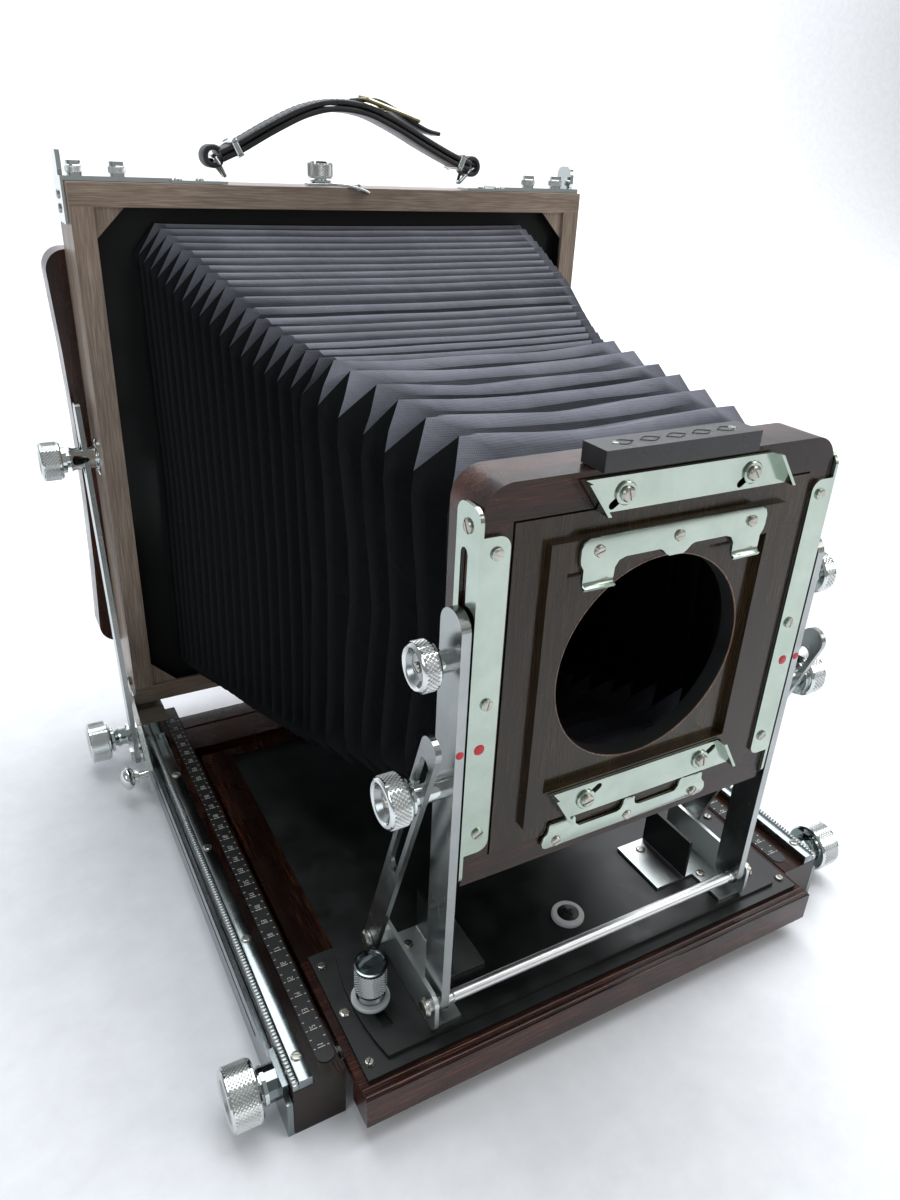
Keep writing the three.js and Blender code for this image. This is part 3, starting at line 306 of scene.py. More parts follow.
def node(tree, kind, inputs=None, **settings):
    """Adds a node with its settings; an input given a socket is linked, any other is set."""
    made = tree.nodes.new(kind)
    for key, value in settings.items():
        setattr(made, key, value)
    for key, value in (inputs or {}).items():
        if isinstance(value, bpy.types.NodeSocket):
            tree.links.new(value, made.inputs[key])
        else:
            made.inputs[key].default_value = value
    return made


SOFT_BENDS = smooth_group()


def finish_of(name):
    """An empty material with its Principled shader and coordinates in millimetres."""
    material = bpy.data.materials.new(name)
    material.use_nodes = True
    tree = material.node_tree
    shader = tree.nodes["Principled BSDF"]
    where = tree.nodes.new("ShaderNodeTexCoord").outputs["Object"]
    scaled = node(
        tree, "ShaderNodeVectorMath", {0: where, 1: (1000, 1000, 1000)}, operation="MULTIPLY"
    ).outputs[0]
    return material, tree, shader, scaled


def ramp(tree, factor, stops):
    made = node(tree, "ShaderNodeValToRGB", {"Fac": factor})
    while len(made.color_ramp.elements) < len(stops):
        made.color_ramp.elements.new(0.5)
    for element, (at, colour) in zip(made.color_ramp.elements, stops):
        element.position = at
        element.color = hexed(colour) if isinstance(colour, str) else (colour, colour, colour, 1)
    return made.outputs[0]


def bumped(tree, shader, height, strength, distance):
    made = node(tree, "ShaderNodeBump", {"Height": height, "Strength": strength, "Distance": distance * MM})
    tree.links.new(made.outputs[0], shader.inputs["Normal"])


def lacquered_hardwood(name, grain, stops, rough=(0.16, 0.34), joints=None, black_inside=False, gloss=0.22):
    """Lacquered hardwood: long streaks and fine pores under a clear coat that mirrors the light.

    joints gives the heights between which the stiles stand; above and below them the grain lies crosswise.
    gloss is the weight of the clear coat.
    """
    material, tree, shader, where = finish_of(name)
    placed = where
    if joints:
        where = grain_by_member(tree, where, joints)
    stretch = [0.055, 0.055, 0.055]
    stretch["xyz".index(grain)] = 0.004  # streaks about 18 mm wide and a quarter of a metre long
    streaked = node(tree, "ShaderNodeVectorMath", {0: where, 1: stretch}, operation="MULTIPLY").outputs[0]
    broad = node(
        tree, "ShaderNodeTexNoise",
        {"Vector": streaked, "Scale": 1.0, "Detail": 6.0, "Roughness": 0.62, "Distortion": 0.5}
    )
    pores_at = [1.6, 1.6, 1.6]
    pores_at["xyz".index(grain)] = 0.07  # pores 0.6 mm wide and some 14 mm long
    fine = node(tree, "ShaderNodeVectorMath", {0: where, 1: pores_at}, operation="MULTIPLY").outputs[0]
    pores = node(tree, "ShaderNodeTexNoise", {"Vector": fine, "Scale": 1.0, "Detail": 3.0, "Roughness": 0.5})
    both = node(tree, "ShaderNodeMath", {0: broad.outputs[0], 1: pores.outputs[0]}, operation="MULTIPLY")
    spread = node(tree, "ShaderNodeMapRange", {"Value": both.outputs[0], "From Min": 0.14, "From Max": 0.38})
    colour = ramp(tree, spread.outputs[0], stops)
    rubbed = node(
        tree, "ShaderNodeTexNoise", {"Vector": where, "Scale": 0.03, "Detail": 4.0, "Roughness": 0.6}
    )
    sheen = node(
        tree,
        "ShaderNodeMapRange",
        {
            "Value": rubbed.outputs[0], "From Min": 0.3, "From Max": 0.7, "To Min": rough[0],
            "To Max": rough[1]
        },
    )
    roughness = sheen.outputs[0]
    if black_inside:
        colour, roughness = blackened(tree, placed, colour, roughness)
    tree.links.new(colour, shader.inputs["Base Color"])
    tree.links.new(roughness, shader.inputs["Roughness"])
    shader.inputs["Coat Weight"].default_value = gloss
    shader.inputs["Specular IOR Level"].default_value = 0.25
    shader.inputs["Coat Roughness"].default_value = 0.12
    shader.inputs["IOR"].default_value = 1.5
    bumped(tree, shader, pores.outputs[0], 0.35, 0.12)
    return material


def grain_by_member(tree, where, joints):
    """Swaps height and width above and below the joints, so that the rails' grain lies crosswise."""
    part = node(tree, "ShaderNodeSeparateXYZ", {0: where})
    crosswise = node(
        tree, "ShaderNodeCombineXYZ", {0: part.outputs[2], 1: part.outputs[1], 2: part.outputs[0]}
    )
    over = node(tree, "ShaderNodeMath", {0: part.outputs[2], 1: joints[1]}, operation="GREATER_THAN")
    under = node(tree, "ShaderNodeMath", {0: part.outputs[2], 1: joints[0]}, operation="LESS_THAN")
    rail = node(tree, "ShaderNodeMath", {0: over.outputs[0], 1: under.outputs[0]}, operation="ADD")
    return node(
        tree, "ShaderNodeMix", {0: rail.outputs[0], 4: where, 5: crosswise.outputs[0]}, data_type="VECTOR"
    ).outputs[1]


def blackened(tree, where, colour, roughness):
    """Matt black paint inside the rear frame, from the corner blocks to the panel's rear face."""
    part = node(tree, "ShaderNodeSeparateXYZ", {0: where})
    wall = REAR_HIGH.x - 12 + 0.05
    tests = []
    across = node(tree, "ShaderNodeMath", {0: part.outputs[0]}, operation="ABSOLUTE")
    tests.append(node(tree, "ShaderNodeMath", {0: across.outputs[0], 1: wall}, operation="LESS_THAN"))
    limits = (
        (2, REAR_LOW.z + 11.9, "GREATER_THAN"),
        (2, REAR_HIGH.z - 11.9, "LESS_THAN"),
        (1, REAR_PLANE + 2.4, "GREATER_THAN"),
        (1, REAR_HIGH.y - 0.4, "LESS_THAN"),
    )
    for axis, limit, test in limits:
        tests.append(node(tree, "ShaderNodeMath", {0: part.outputs[axis], 1: limit}, operation=test))
    inside = tests[0].outputs[0]
    for test in tests[1:]:
        inside = node(
            tree, "ShaderNodeMath", {0: inside, 1: test.outputs[0]}, operation="MULTIPLY"
        ).outputs[0]
    painted = node(tree, "ShaderNodeMix", {0: inside, 6: colour, 7: hexed("#040505")}, data_type="RGBA")
    dulled = node(tree, "ShaderNodeMix", {0: inside, 2: roughness, 3: 0.75}, data_type="FLOAT")
    return painted.outputs[2], dulled.outputs[0]


def plated_metal(name, light, dark, rough, scratch=0.05, brushed=None):
    """Plated metal: mirror or satin, with faint clouding and hairline scratches."""
    material, tree, shader, where = finish_of(name)
    clouds = node(
        tree, "ShaderNodeTexNoise", {"Vector": where, "Scale": 0.06, "Detail": 5.0, "Roughness": 0.65}
    )
    colour = ramp(tree, clouds.outputs[0], [(0.3, dark), (0.7, light)])
    tree.links.new(colour, shader.inputs["Base Color"])
    shader.inputs["Metallic"].default_value = 1.0
    along = node(
        tree, "ShaderNodeVectorMath", {0: where, 1: brushed or (0.9, 0.9, 0.9)}, operation="MULTIPLY"
    ).outputs[0]
    hairs = node(tree, "ShaderNodeTexNoise", {"Vector": along, "Scale": 2.2, "Detail": 4.0, "Roughness": 0.7})
    mixed = node(tree, "ShaderNodeMath", {0: hairs.outputs[0], 1: clouds.outputs[0]}, operation="MULTIPLY")
    spread = node(
        tree,
        "ShaderNodeMapRange",
        {
            "Value": mixed.outputs[0], "From Min": 0.12, "From Max": 0.4, "To Min": rough[0],
            "To Max": rough[1]
        },
    )
    tree.links.new(spread.outputs[0], shader.inputs["Roughness"])
    bumped(tree, shader, hairs.outputs[0], scratch, 0.05)
    return material


def satin_enamel(name, stops, rough, grit=1.1, strength=0.12):
    """Baked enamel: even colour with a fine orange peel and rubbed patches."""
    material, tree, shader, where = finish_of(name)
    patches = node(
        tree, "ShaderNodeTexNoise", {"Vector": where, "Scale": 0.05, "Detail": 6.0, "Roughness": 0.65}
    )
    tree.links.new(ramp(tree, patches.outputs[0], stops), shader.inputs["Base Color"])
    spread = node(
        tree,
        "ShaderNodeMapRange",
        {
            "Value": patches.outputs[0], "From Min": 0.3, "From Max": 0.7, "To Min": rough[0],
            "To Max": rough[1]
        },
    )
    tree.links.new(spread.outputs[0], shader.inputs["Roughness"])
    peel = node(tree, "ShaderNodeTexNoise", {"Vector": where, "Scale": grit, "Detail": 2.0})
    bumped(tree, shader, peel.outputs[0], strength, 0.08)
    return material


def bellows_cloth():
    """Coated bellows cloth: black with a soft sheen, dusty tone patches and a fine weave; faces that point up
    are painted a much lighter blue-grey as painted light from above, and fold ridges are lighter and valleys
    darker, partly wear and partly painted crease shade.
    """
    material, tree, shader, where = finish_of("coated_bellows_cloth")
    # Painted light: the normal's Z below picks a far lighter blue-grey for faces that point up than for the
    # near-black sides, standing in for light from above.
    up = node(tree, "ShaderNodeSeparateXYZ", {0: tree.nodes.new("ShaderNodeNewGeometry").outputs["Normal"]})
    painted_top_light = node(tree, "ShaderNodeMapRange", {"Value": up.outputs[2], "From Min": 0.2, "From Max": 0.75})
    dust = node(
        tree, "ShaderNodeTexNoise", {"Vector": where, "Scale": 0.035, "Detail": 6.0, "Roughness": 0.7}
    )
    # The rubbed attribute is a ridge weight: lighter ridges are partly wear and partly painted light, darker
    # valleys are painted crease shade.
    ridge = tree.nodes.new("ShaderNodeAttribute")
    ridge.attribute_name = "rubbed"
    tops = [
        ramp(tree, dust.outputs[0], [(0.3, a), (0.7, b)]) for a,
        b in (("#484951", "#585961"), ("#70717b", "#858690"))
    ]
    sides = [
        ramp(tree, dust.outputs[0], [(0.3, a), (0.7, b)]) for a,
        b in (("#020303", "#060707"), ("#101213", "#1c1f20"))
    ]
    # Valleys take the darker colour of each pair as painted crease shade; ridges take the lighter one as wear
    # and painted light.
    top, side = [
        node(tree, "ShaderNodeMix", {0: ridge.outputs["Fac"], 6: plain, 7: worn}, data_type="RGBA").outputs[2]
        for plain, worn in (tops, sides)
    ]
    # Painted light: up-facing folds take the lit top colours, the other faces the shaded side colours.
    both = node(tree, "ShaderNodeMix", {0: painted_top_light.outputs[0], 6: side, 7: top}, data_type="RGBA")
    tree.links.new(both.outputs[2], shader.inputs["Base Color"])
    rough = node(
        tree, "ShaderNodeMapRange",
        {"Value": dust.outputs[0], "From Min": 0.3, "From Max": 0.7, "To Min": 0.5, "To Max": 0.75}
    )
    tree.links.new(rough.outputs[0], shader.inputs["Roughness"])
    shader.inputs["Specular IOR Level"].default_value = 0.06
    # thread spacing 0.8 mm, twice the real one so that it shows
    weave = node(
        tree, "ShaderNodeTexWave", {"Vector": where, "Scale": 0.4, "Distortion": 0.4}, bands_direction="X"
    )
    cross = node(
        tree, "ShaderNodeTexWave", {"Vector": where, "Scale": 0.4, "Distortion": 0.4}, bands_direction="Z"
    )
    crumple = node(
        tree, "ShaderNodeTexNoise",
        {"Vector": where, "Scale": 0.09, "Detail": 3.0, "Roughness": 0.55, "Distortion": 0.8}
    )
    thread = node(tree, "ShaderNodeMath", {0: weave.outputs[1], 1: cross.outputs[1]}, operation="ADD")
    height = node(
        tree, "ShaderNodeMath", {0: thread.outputs[0], 1: 0.06, 2: crumple.outputs[0]},
        operation="MULTIPLY_ADD"
    )
    bumped(tree, shader, height.outputs[0], 0.5, 1.6)
    return material


def bridle_leather():
    """Bridle leather: waxed near-black hide with a pebbled grain and browner rubbed ridges."""
    material, tree, shader, where = finish_of("waxed_bridle_leather")
    pebbles = node(tree, "ShaderNodeTexVoronoi", {"Vector": where, "Scale": 1.1}, feature="SMOOTH_F1")
    rubbed = node(tree, "ShaderNodeTexNoise", {"Vector": where, "Scale": 0.12, "Detail": 5.0})
    colour = ramp(tree, rubbed.outputs[0], [(0.35, "#0e0e0f"), (0.6, "#1a1a1c"), (0.8, "#2b2a2c")])
    tree.links.new(colour, shader.inputs["Base Color"])
    spread = node(tree, "ShaderNodeMapRange", {"Value": rubbed.outputs[0], "To Min": 0.28, "To Max": 0.52})
    tree.links.new(spread.outputs[0], shader.inputs["Roughness"])
    bumped(tree, shader, pebbles.outputs[0], 0.35, 0.25)
    return material


def ground_glass():
    """Ground glass: greenish white, scattering, with the fine tooth of the grinding."""
    material, tree, shader, where = finish_of("ground_glass_screen")
    tooth = node(tree, "ShaderNodeTexNoise", {"Vector": where, "Scale": 3.0, "Detail": 2.0})
    tree.links.new(
        ramp(tree, tooth.outputs[0], [(0.3, "#aebab6"), (0.7, "#c3cecb")]), shader.inputs["Base Color"]
    )
    spread = node(tree, "ShaderNodeMapRange", {"Value": tooth.outputs[0], "To Min": 0.45, "To Max": 0.65})
    tree.links.new(spread.outputs[0], shader.inputs["Roughness"])
    shader.inputs["Transmission Weight"].default_value = 0.35
    shader.inputs["IOR"].default_value = 1.5
    bumped(tree, shader, tooth.outputs[0], 0.2, 0.03)
    return material


DARK_WOOD = [(0.0, "#180b07"), (0.45, "#2d160d"), (0.75, "#432013"), (1.0, "#5c2e1c")]


def foot_plate():
    """Chromed foot with black enamel on the upright wall of its inner stop angle."""
    material = plated_metal("chromed_foot_black_stop", "#dfe3e2", "#d2d8d6", (0.3, 0.42), 0.015)
    tree = material.node_tree
    shader = tree.nodes["Principled BSDF"]
    where = tree.nodes.new("ShaderNodeTexCoord").outputs["Object"]
    part = node(tree, "ShaderNodeSeparateXYZ", {0: where})
    across = node(tree, "ShaderNodeMath", {0: part.outputs[0]}, operation="ABSOLUTE")
    outside = node(tree, "ShaderNodeMath", {0: across.outputs[0], 1: 0.0775}, operation="GREATER_THAN")
    sole = node(tree, "ShaderNodeMath", {0: part.outputs[2], 1: 0.036}, operation="LESS_THAN")
    metal = node(tree, "ShaderNodeMath", {0: outside.outputs[0], 1: sole.outputs[0]}, operation="MAXIMUM")
    plated = shader.inputs["Base Color"].links[0].from_socket
    both = node(
        tree, "ShaderNodeMix", {0: metal.outputs[0], 6: hexed("#101112"), 7: plated}, data_type="RGBA"
    )
    smooth = shader.inputs["Roughness"].links[0].from_socket
    dull = node(tree, "ShaderNodeMix", {0: metal.outputs[0], 2: 0.4, 3: smooth}, data_type="FLOAT")
    tree.links.new(both.outputs[2], shader.inputs["Base Color"])
    tree.links.new(dull.outputs[0], shader.inputs["Roughness"])
    tree.links.new(metal.outputs[0], shader.inputs["Metallic"])
    return material


FADED_WOOD = [(0.0, "#76665a"), (0.4, "#877668"), (0.75, "#968576"), (1.0, "#a39282")]
OLIVE_WOOD = [(0.0, "#20170d"), (0.45, "#2b2012"), (0.75, "#362916"), (1.0, "#43331f")]
RAIL_WOOD = [(0.0, "#0f0705"), (0.45, "#1d0e09"), (0.75, "#2f1810"), (1.0, "#46281a")]
RED_WOOD = [(0.0, "#1a0a07"), (0.45, "#2c130c"), (0.8, "#422016"), (1.0, "#5a3122")]
wood_y = lacquered_hardwood("lacquered_hardwood_lengthwise", "y", RAIL_WOOD, gloss=0.1)
wood_x = lacquered_hardwood("lacquered_hardwood_crosswise", "x", RED_WOOD)
wood_z = lacquered_hardwood("lacquered_hardwood_upright", "z", DARK_WOOD, (0.18, 0.36))
wood_board = lacquered_hardwood("lacquered_hardwood_lens_board", "z", OLIVE_WOOD, (0.14, 0.3))
FRONT_JOINTS = (FRONT_LOW.z + 17, FRONT_HIGH.z - 15)
REAR_JOINTS = (REAR_LOW.z + 12, REAR_HIGH.z - 12)
wood_front = lacquered_hardwood("lacquered_hardwood_front_frame", "z", DARK_WOOD, (0.16, 0.34), FRONT_JOINTS)
worn_edge = lacquered_hardwood("worn_lacquered_edge", "z", [(0.0, "#4a342a"), (1.0, "#927563")], (0.3, 0.5))
wood_faded = lacquered_hardwood("faded_lacquered_hardwood", "z", FADED_WOOD, (0.4, 0.6), REAR_JOINTS, True)
chrome = plated_metal("polished_chrome_plate", "#dfe3e2", "#d2d8d6", (0.05, 0.11), 0.015)
dull_chrome = plated_metal("aged_chrome_plate", "#8f9799", "#7d8587", (0.14, 0.24), 0.015)
nickel = plated_metal("buffed_nickel_plate", "#b9c4ba", "#a6b3a8", (0.13, 0.24), 0.02)
satin_steel = plated_metal(
    "brushed_chromed_steel", "#adb1b0", "#9da2a1", (0.2, 0.28), 0.012, (0.9, 0.9, 0.03)
)
satin_rod = plated_metal("satin_chromed_rod", "#eceeee", "#dfe2e2", (0.3, 0.4), 0.01)
knurl_chrome = plated_metal("diamond_knurled_chrome", "#dcdddb", "#c9cccb", (0.26, 0.38), 0.02)
screw_nickel = plated_metal("nickelled_screw", "#c4c2b9", "#9c9a90", (0.2, 0.34))
brass = plated_metal("pale_brass_buckle", "#e0d8b8", "#b9ad85", (0.15, 0.32))
enamel = satin_enamel("satin_black_enamel", [(0.3, "#0b0c0c"), (0.7, "#191b1b")], (0.3, 0.5))
anodised = satin_enamel("black_anodised_block", [(0.3, "#1c1d1e"), (0.7, "#2b2c2e")], (0.22, 0.36))
matt_black = satin_enamel("matt_black_paint", [(0.3, "#070808"), (0.7, "#101212")], (0.6, 0.8))
white_paint = satin_enamel("white_engraving_paint", [(0.3, "#cfcdc6"), (0.7, "#e6e4de")], (0.5, 0.7))
red_paint = satin_enamel("red_index_enamel", [(0.3, "#a50f18"), (0.7, "#d61f28")], (0.15, 0.3))
fibre = satin_enamel("white_fibre_washer", [(0.3, "#b9bcbc"), (0.7, "#d6d8d8")], (0.4, 0.6))
foot_finish = foot_plate()
cloth = bellows_cloth()
leather = bridle_leather()
frosted = ground_glass()

CAD_FINISH = {
    "rail_left": wood_y,
    "rail_right": wood_y,
    "side_plate_left": dull_chrome,
    "side_plate_right": dull_chrome,
    "bed_base": wood_x,
    "tripod_plate": nickel,
    "front_board": wood_x,
    "slide_frame": wood_y,
    "slide_panel": enamel,
    "slide_plate": enamel,
    "focus_shaft": chrome,
    "swing_plate": enamel,
    "foot_bracket_left": foot_finish,
    "foot_bracket_right": foot_finish,
    "leg_left": satin_steel,
    "leg_right": satin_steel,
    "arm_left": satin_steel,
    "arm_right": satin_steel,
    "front_frame": wood_front,
    "angle_plate_left": nickel,
    "angle_plate_right": nickel,
    "lens_board": wood_board,
    "level_block": anodised,
    "top_slider": nickel,
    "bottom_slider": nickel,
    "carriage_left": chrome,
    "carriage_right": chrome,
    "rear_frame": wood_faded,
    "top_plate_left": chrome,
    "top_plate_right": chrome,
    "brace_left": satin_steel,
    "brace_right": satin_steel,
    "back_frame": wood_z,
    "ground_glass": frosted,
}
SOFT_WOOD = {"rear_frame": 0.5, "front_frame": 0.7, "lens_board": 0.5, "front_board": 0.5, "back_frame": 1.6}
SOFT_WOOD.update({"rail_left": 0.5, "rail_right": 0.5, "slide_frame": 0.4, "bed_base": 0.4})

for name, material in CAD_FINISH.items():
    part = bpy.data.objects[name]
    part.data.materials.clear()
    part.data.materials.append(material)
    soften(part, SOFT_WOOD.get(name, 0.3))
    if name in SOFT_WOOD:
        part.data.materials.append(worn_edge)
        part.modifiers["edges"].material = 1


# ---------------------------------------------------------------- bellows
BELLOWS_SHAPE = (  # distance in front of the rear frame, half width, bottom and top height
    (-9, 129, 61, 345),
    (0, 128, 61.5, 344),
    (25, 124.5, 68, 336),
    (50, 119, 72, 328),
    (75, 113, 74, 321),
    (100, 106, 77, 310),
    (125, 97.5, 78, 303),
    (150, 88, 82.5, 298),
    (175, 86, 94, 296.6),
    (200, 83, 105, 295),
    (225, 81.5, 117, 292),
    (250, 78, 128, 290),
    (279, 74, 140, 287),
)
FINE_FOLDS = 18
WIDE_RIDGES = (156, 174, 197, 214, 234, 256)


def between(table, at):
    """Row of a table at a distance, straight between its lines."""
    for a, b in zip(table, table[1:]):
        if at <= b[0] or b is table[-1]:
            t = (at - a[0]) / (b[0] - a[0])
            return [p + (q - p) * t for p, q in zip(a[1:], b[1:])]


def fold_lines(start, end):
    """Rows along the bellows: distance, fold height (+1 ridge, -1 valley), share of the ridge, depth."""
    first_wide = 148
    pitch = (first_wide - start) / FINE_FOLDS
    valleys = [start + i * pitch for i in range(FINE_FOLDS + 1)]
    valleys += [(a + b) / 2 for a, b in zip(WIDE_RIDGES, WIDE_RIDGES[1:])] + [267]
    lines = []
    for index, (a, b) in enumerate(zip(valleys, valleys[1:])):
        wide = index >= FINE_FOLDS
        depth = 4.6 if wide else 2.2
        ridge = WIDE_RIDGES[index - FINE_FOLDS] if wide else (a + b) / 2
        lines.append((a, -1, 0, depth))
        lines.append((a + (ridge - a) * 0.4, 0.55, 0.4, depth))
        lines.append((ridge, 1, 1, depth))
        lines.append((b + (ridge - b) * 0.4, 0.35, 0.4, depth))
    lines.append((valleys[-1], -1, 0, 3.0))
    lines.append((end, 1, 1, 0.5))
    return lines


def wobble(x, y, z):
    """Slow unevenness of the cloth, in millimetres."""
    return math.sin(x * 0.071 + y * 0.13) * math.sin(z * 0.053 + y * 0.09 + 1.3)


def fold_row(distance, level, ridge, depth):
    """Closed loop round the bellows at a fold line: places, and for each a ridge weight that lightens ridges
    and darkens valleys, partly wear and partly painted crease shade.

    The sides fold the other way from the top, so that the corners zigzag.
    """
    half, low, top = between(BELLOWS_SHAPE, distance)
    wide = min(1, max(0, (distance - 130) / 40))
    inner = 15 + 4 * wide  # where the top's straight crease ends
    peak = 9.5 - 2 * wide
    drop = 13 - 1.5 * wide
    below = 18 + 4 * wide
    out = level * depth
    turn = (2 * ridge - 1) * depth
    quarter = []  # from the middle of the top to the middle of the right side
    # Each point's third value is the ridge weight: near 1 on a ridge (lighter, wear and painted light), near
    # 0 in a valley (darker, painted crease shade).
    for t in (0, 0.25, 0.5, 0.75, 1):
        x = (half - inner) * t
        sag = (0.8 + 1.6 * wide) * (1 - t * t)
        quarter.append((x, top + out - sag, ridge**4))
    tip = Vector((half + 1.5 + depth * 0.5, top - drop, 0.7))
    crown = Vector((half - peak, top + depth * 1.15, 1))
    quarter.append(tuple(tip.lerp(crown, ridge)))
    side_rub_and_crease_shade = (1 - ridge) ** 4
    quarter.append((half - turn, top - below, side_rub_and_crease_shade))
    middle = (low + top) / 2
    for t in (0.3, 0.6, 1):
        pull = (1.0 + 2.0 * wide) * t
        side_out = turn * (1 - 0.3 * t)
        quarter.append((half - side_out - pull, top - below + (middle - top + below) * t, side_rub_and_crease_shade))
    lower = [(x, low + (top - z), rub_and_crease_shade) for x, z, rub_and_crease_shade in quarter[::-1][1:]]
    right = quarter + lower
    loop = right + [(-x, z, rub_and_crease_shade) for x, z, rub_and_crease_shade in right[::-1][1:-1]]
    y = REAR_PLANE - distance
    placed = []
    for x, z, rub_and_crease_shade in loop:
        shift = wobble(x, y, z) * (0.3 + 0.9 * wide)
        away = 0.6 if x > 0 else -0.6 if x < 0 else 0
        placed.append(Vector((x + shift * away, y + shift * 0.6, z + shift * 0.5, rub_and_crease_shade)))
    return placed


def bellows():
    ends = [REAR_PLANE - corners("bellows_1")[1].y]
    ends += [REAR_PLANE - corners(f"bellows_{i}")[0].y for i in range(1, 7)]
    lines = [(line[0], fold_row(*line)) for line in fold_lines(ends[0], ends[-1])]

    def row_at(distance):
        for (a, row_a), (b, row_b) in zip(lines, lines[1:]):
            if distance <= b + 1e-6:
                t = (distance - a) / (b - a)
                return [p.lerp(q, t) for p, q in zip(row_a, row_b)]

    for i, (start, end) in enumerate(zip(ends, ends[1:])):
        inside = [row for distance, row in lines if start + 0.05 < distance < end - 0.05]
        rows = [row_at(start)] + inside + [row_at(end)]
        shape = Shape()
        grid(shape, [[p.to_3d() for p in row] for row in rows])
        name = f"bellows_{i + 1}"
        piece = shape.make(f"bellows_folds_{i + 1}", [cloth], crease=24)
        # rubbed holds the ridge weight: lighter ridges from wear and painted light, darker valleys as painted
        # crease shade.
        rubbed = piece.data.attributes.new("rubbed", "FLOAT", "POINT")
        rubbed.data.foreach_set("value", [p.w for row in rows for p in row])
        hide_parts(name)
        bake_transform(piece)


bellows()


# ---------------------------------------------------------------- knobs
def side_knob(node_name, body, name, style):
    """Knob on a crosswise axis: knurled rim, dished face with a screw, stepped collars behind."""
    low, high = corners(node_name)
    side = 1 if low.x > 0 else -1
    face = high.x if side > 0 else low.x
    root = low.x if side > 0 else high.x
    depth = abs(face - root)
    radius = (high.z - low.z) / 2
    origin = Vector((face, (low.y + high.y) / 2, (low.z + high.z) / 2))
    length = style["length"]
    neck = style["neck"]
    inner = neck[-1][0]
    shape = Shape()
    rim = radius - style["cut"] * 0.85
    profile = [
        (0.2, -style["dish"]), (radius * 0.52, -style["dish"]), (radius * 0.68, -0.7), (radius * 0.76, -0.1)
    ]
    profile += [
        (radius * 0.84, 0), (rim - 0.5, -0.35), (rim, -1.0), (rim, -length + 0.9), (rim - 0.7, -length)
    ]
    profile += [(r, -length - h) for r, h in neck] + [(inner, -depth)]
    turned(shape, origin, (side, 0, 0), profile[::-1], 48)
    knurled(shape, origin, (side, 0, 0), radius, -length + 1.1, -1.1, style["pitch"], style["cut"], 1)
    screw(
        shape, origin - Vector((side * (style["dish"] + 0.1), 0, 0)), (side, 0, 0), radius * 0.22, 1.4, 0.5, 2
    )
    dish = [(radius * 0.67, -0.62), (radius * 0.51, 0.06 - style["dish"]), (0.2, 0.06 - style["dish"])]
    turned(shape, origin, (side, 0, 0), dish[::-1], 48, 3, capped=False)
    piece = shape.make(name, [chrome, knurl_chrome, screw_nickel, satin_steel], body)
    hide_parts(node_name)
    return piece


FOCUS_STYLE = {
    "length": 14, "dish": 2.6, "pitch": 2.0, "cut": 0.55,
    "neck": [(7, 0.2), (7, 1.6), (8.6, 1.9), (8.6, 3.6), (6, 4), (6, 5)]
}
REAR_FOCUS_STYLE = {
    "length": 13, "dish": 2.2, "pitch": 1.9, "cut": 0.5,
    "neck": [(7, 0.3), (9, 1.5), (9, 3), (5.5, 4), (7, 6), (6, 8)]
}
REAR_TILT_STYLE = {
    "length": 12, "dish": 1.6, "pitch": 1.8, "cut": 0.4,
    "neck": [(8, 0.3), (8, 2.5), (5, 3), (5, 4.5), (7.4, 5), (6.5, 7)]
}
TILT_STYLE = {
    "length": 10, "dish": 3.0, "pitch": 1.8, "cut": 0.5,
    "neck": [(7, 0.3), (8.4, 1), (8.4, 2), (5.2, 2.4), (5.2, 3)]
}
RISE_STYLE = {"length": 8, "dish": 2.4, "pitch": 1.7, "cut": 0.45, "neck": [(6, 0.2), (6, 1.0), (4.6, 1.4)]}

for way, _ in SIDES:
    tag = way[0]
    side_knob(f"focus_knob_{way}", "focus_spindle", f"focus_knob_turned_{way}", FOCUS_STYLE)
    side_knob(
        f"rear_focus_knob_{way}", f"rear_focus_{tag}", f"rear_focus_knob_turned_{way}", REAR_FOCUS_STYLE
    )
    side_knob(
        f"rear_tilt_knob_{way}", f"rear_tilt_knob_{tag}", f"rear_tilt_knob_turned_{way}", REAR_TILT_STYLE
    )
    side_knob(f"tilt_knob_{way}", f"tilt_knob_{tag}", f"tilt_knob_turned_{way}", TILT_STYLE)
    side_knob(f"rise_knob_{way}", f"rise_knob_{tag}", f"rise_knob_turned_{way}", RISE_STYLE)


def rear_lock(way, side):
    """Small ball-headed thumb screw."""
    low, high = corners(f"rear_lock_{way}")
    radius = (high.z - low.z) / 2
    face = high.x if side > 0 else low.x
    depth = high.x - low.x
    origin = (face, (low.y + high.y) / 2, (low.z + high.z) / 2)
    shape = Shape()
    ball = [
        (radius * math.sin(math.radians(a)), -radius * 0.62 * (1 - math.cos(math.radians(a))))
        for a in range(6, 150, 12)
    ]
    turned(
        shape, origin, (side, 0, 0),
        (ball + [(4, -8), (4.4, -9), (4.4, -11), (2.4, -11.5), (2.4, -depth)])[::-1], 40
    )
    piece = shape.make(f"rear_lock_turned_{way}", [chrome], f"rear_lock_{way[0]}")
    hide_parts(f"rear_lock_{way}")


for way, side in SIDES:
    rear_lock(way, side)


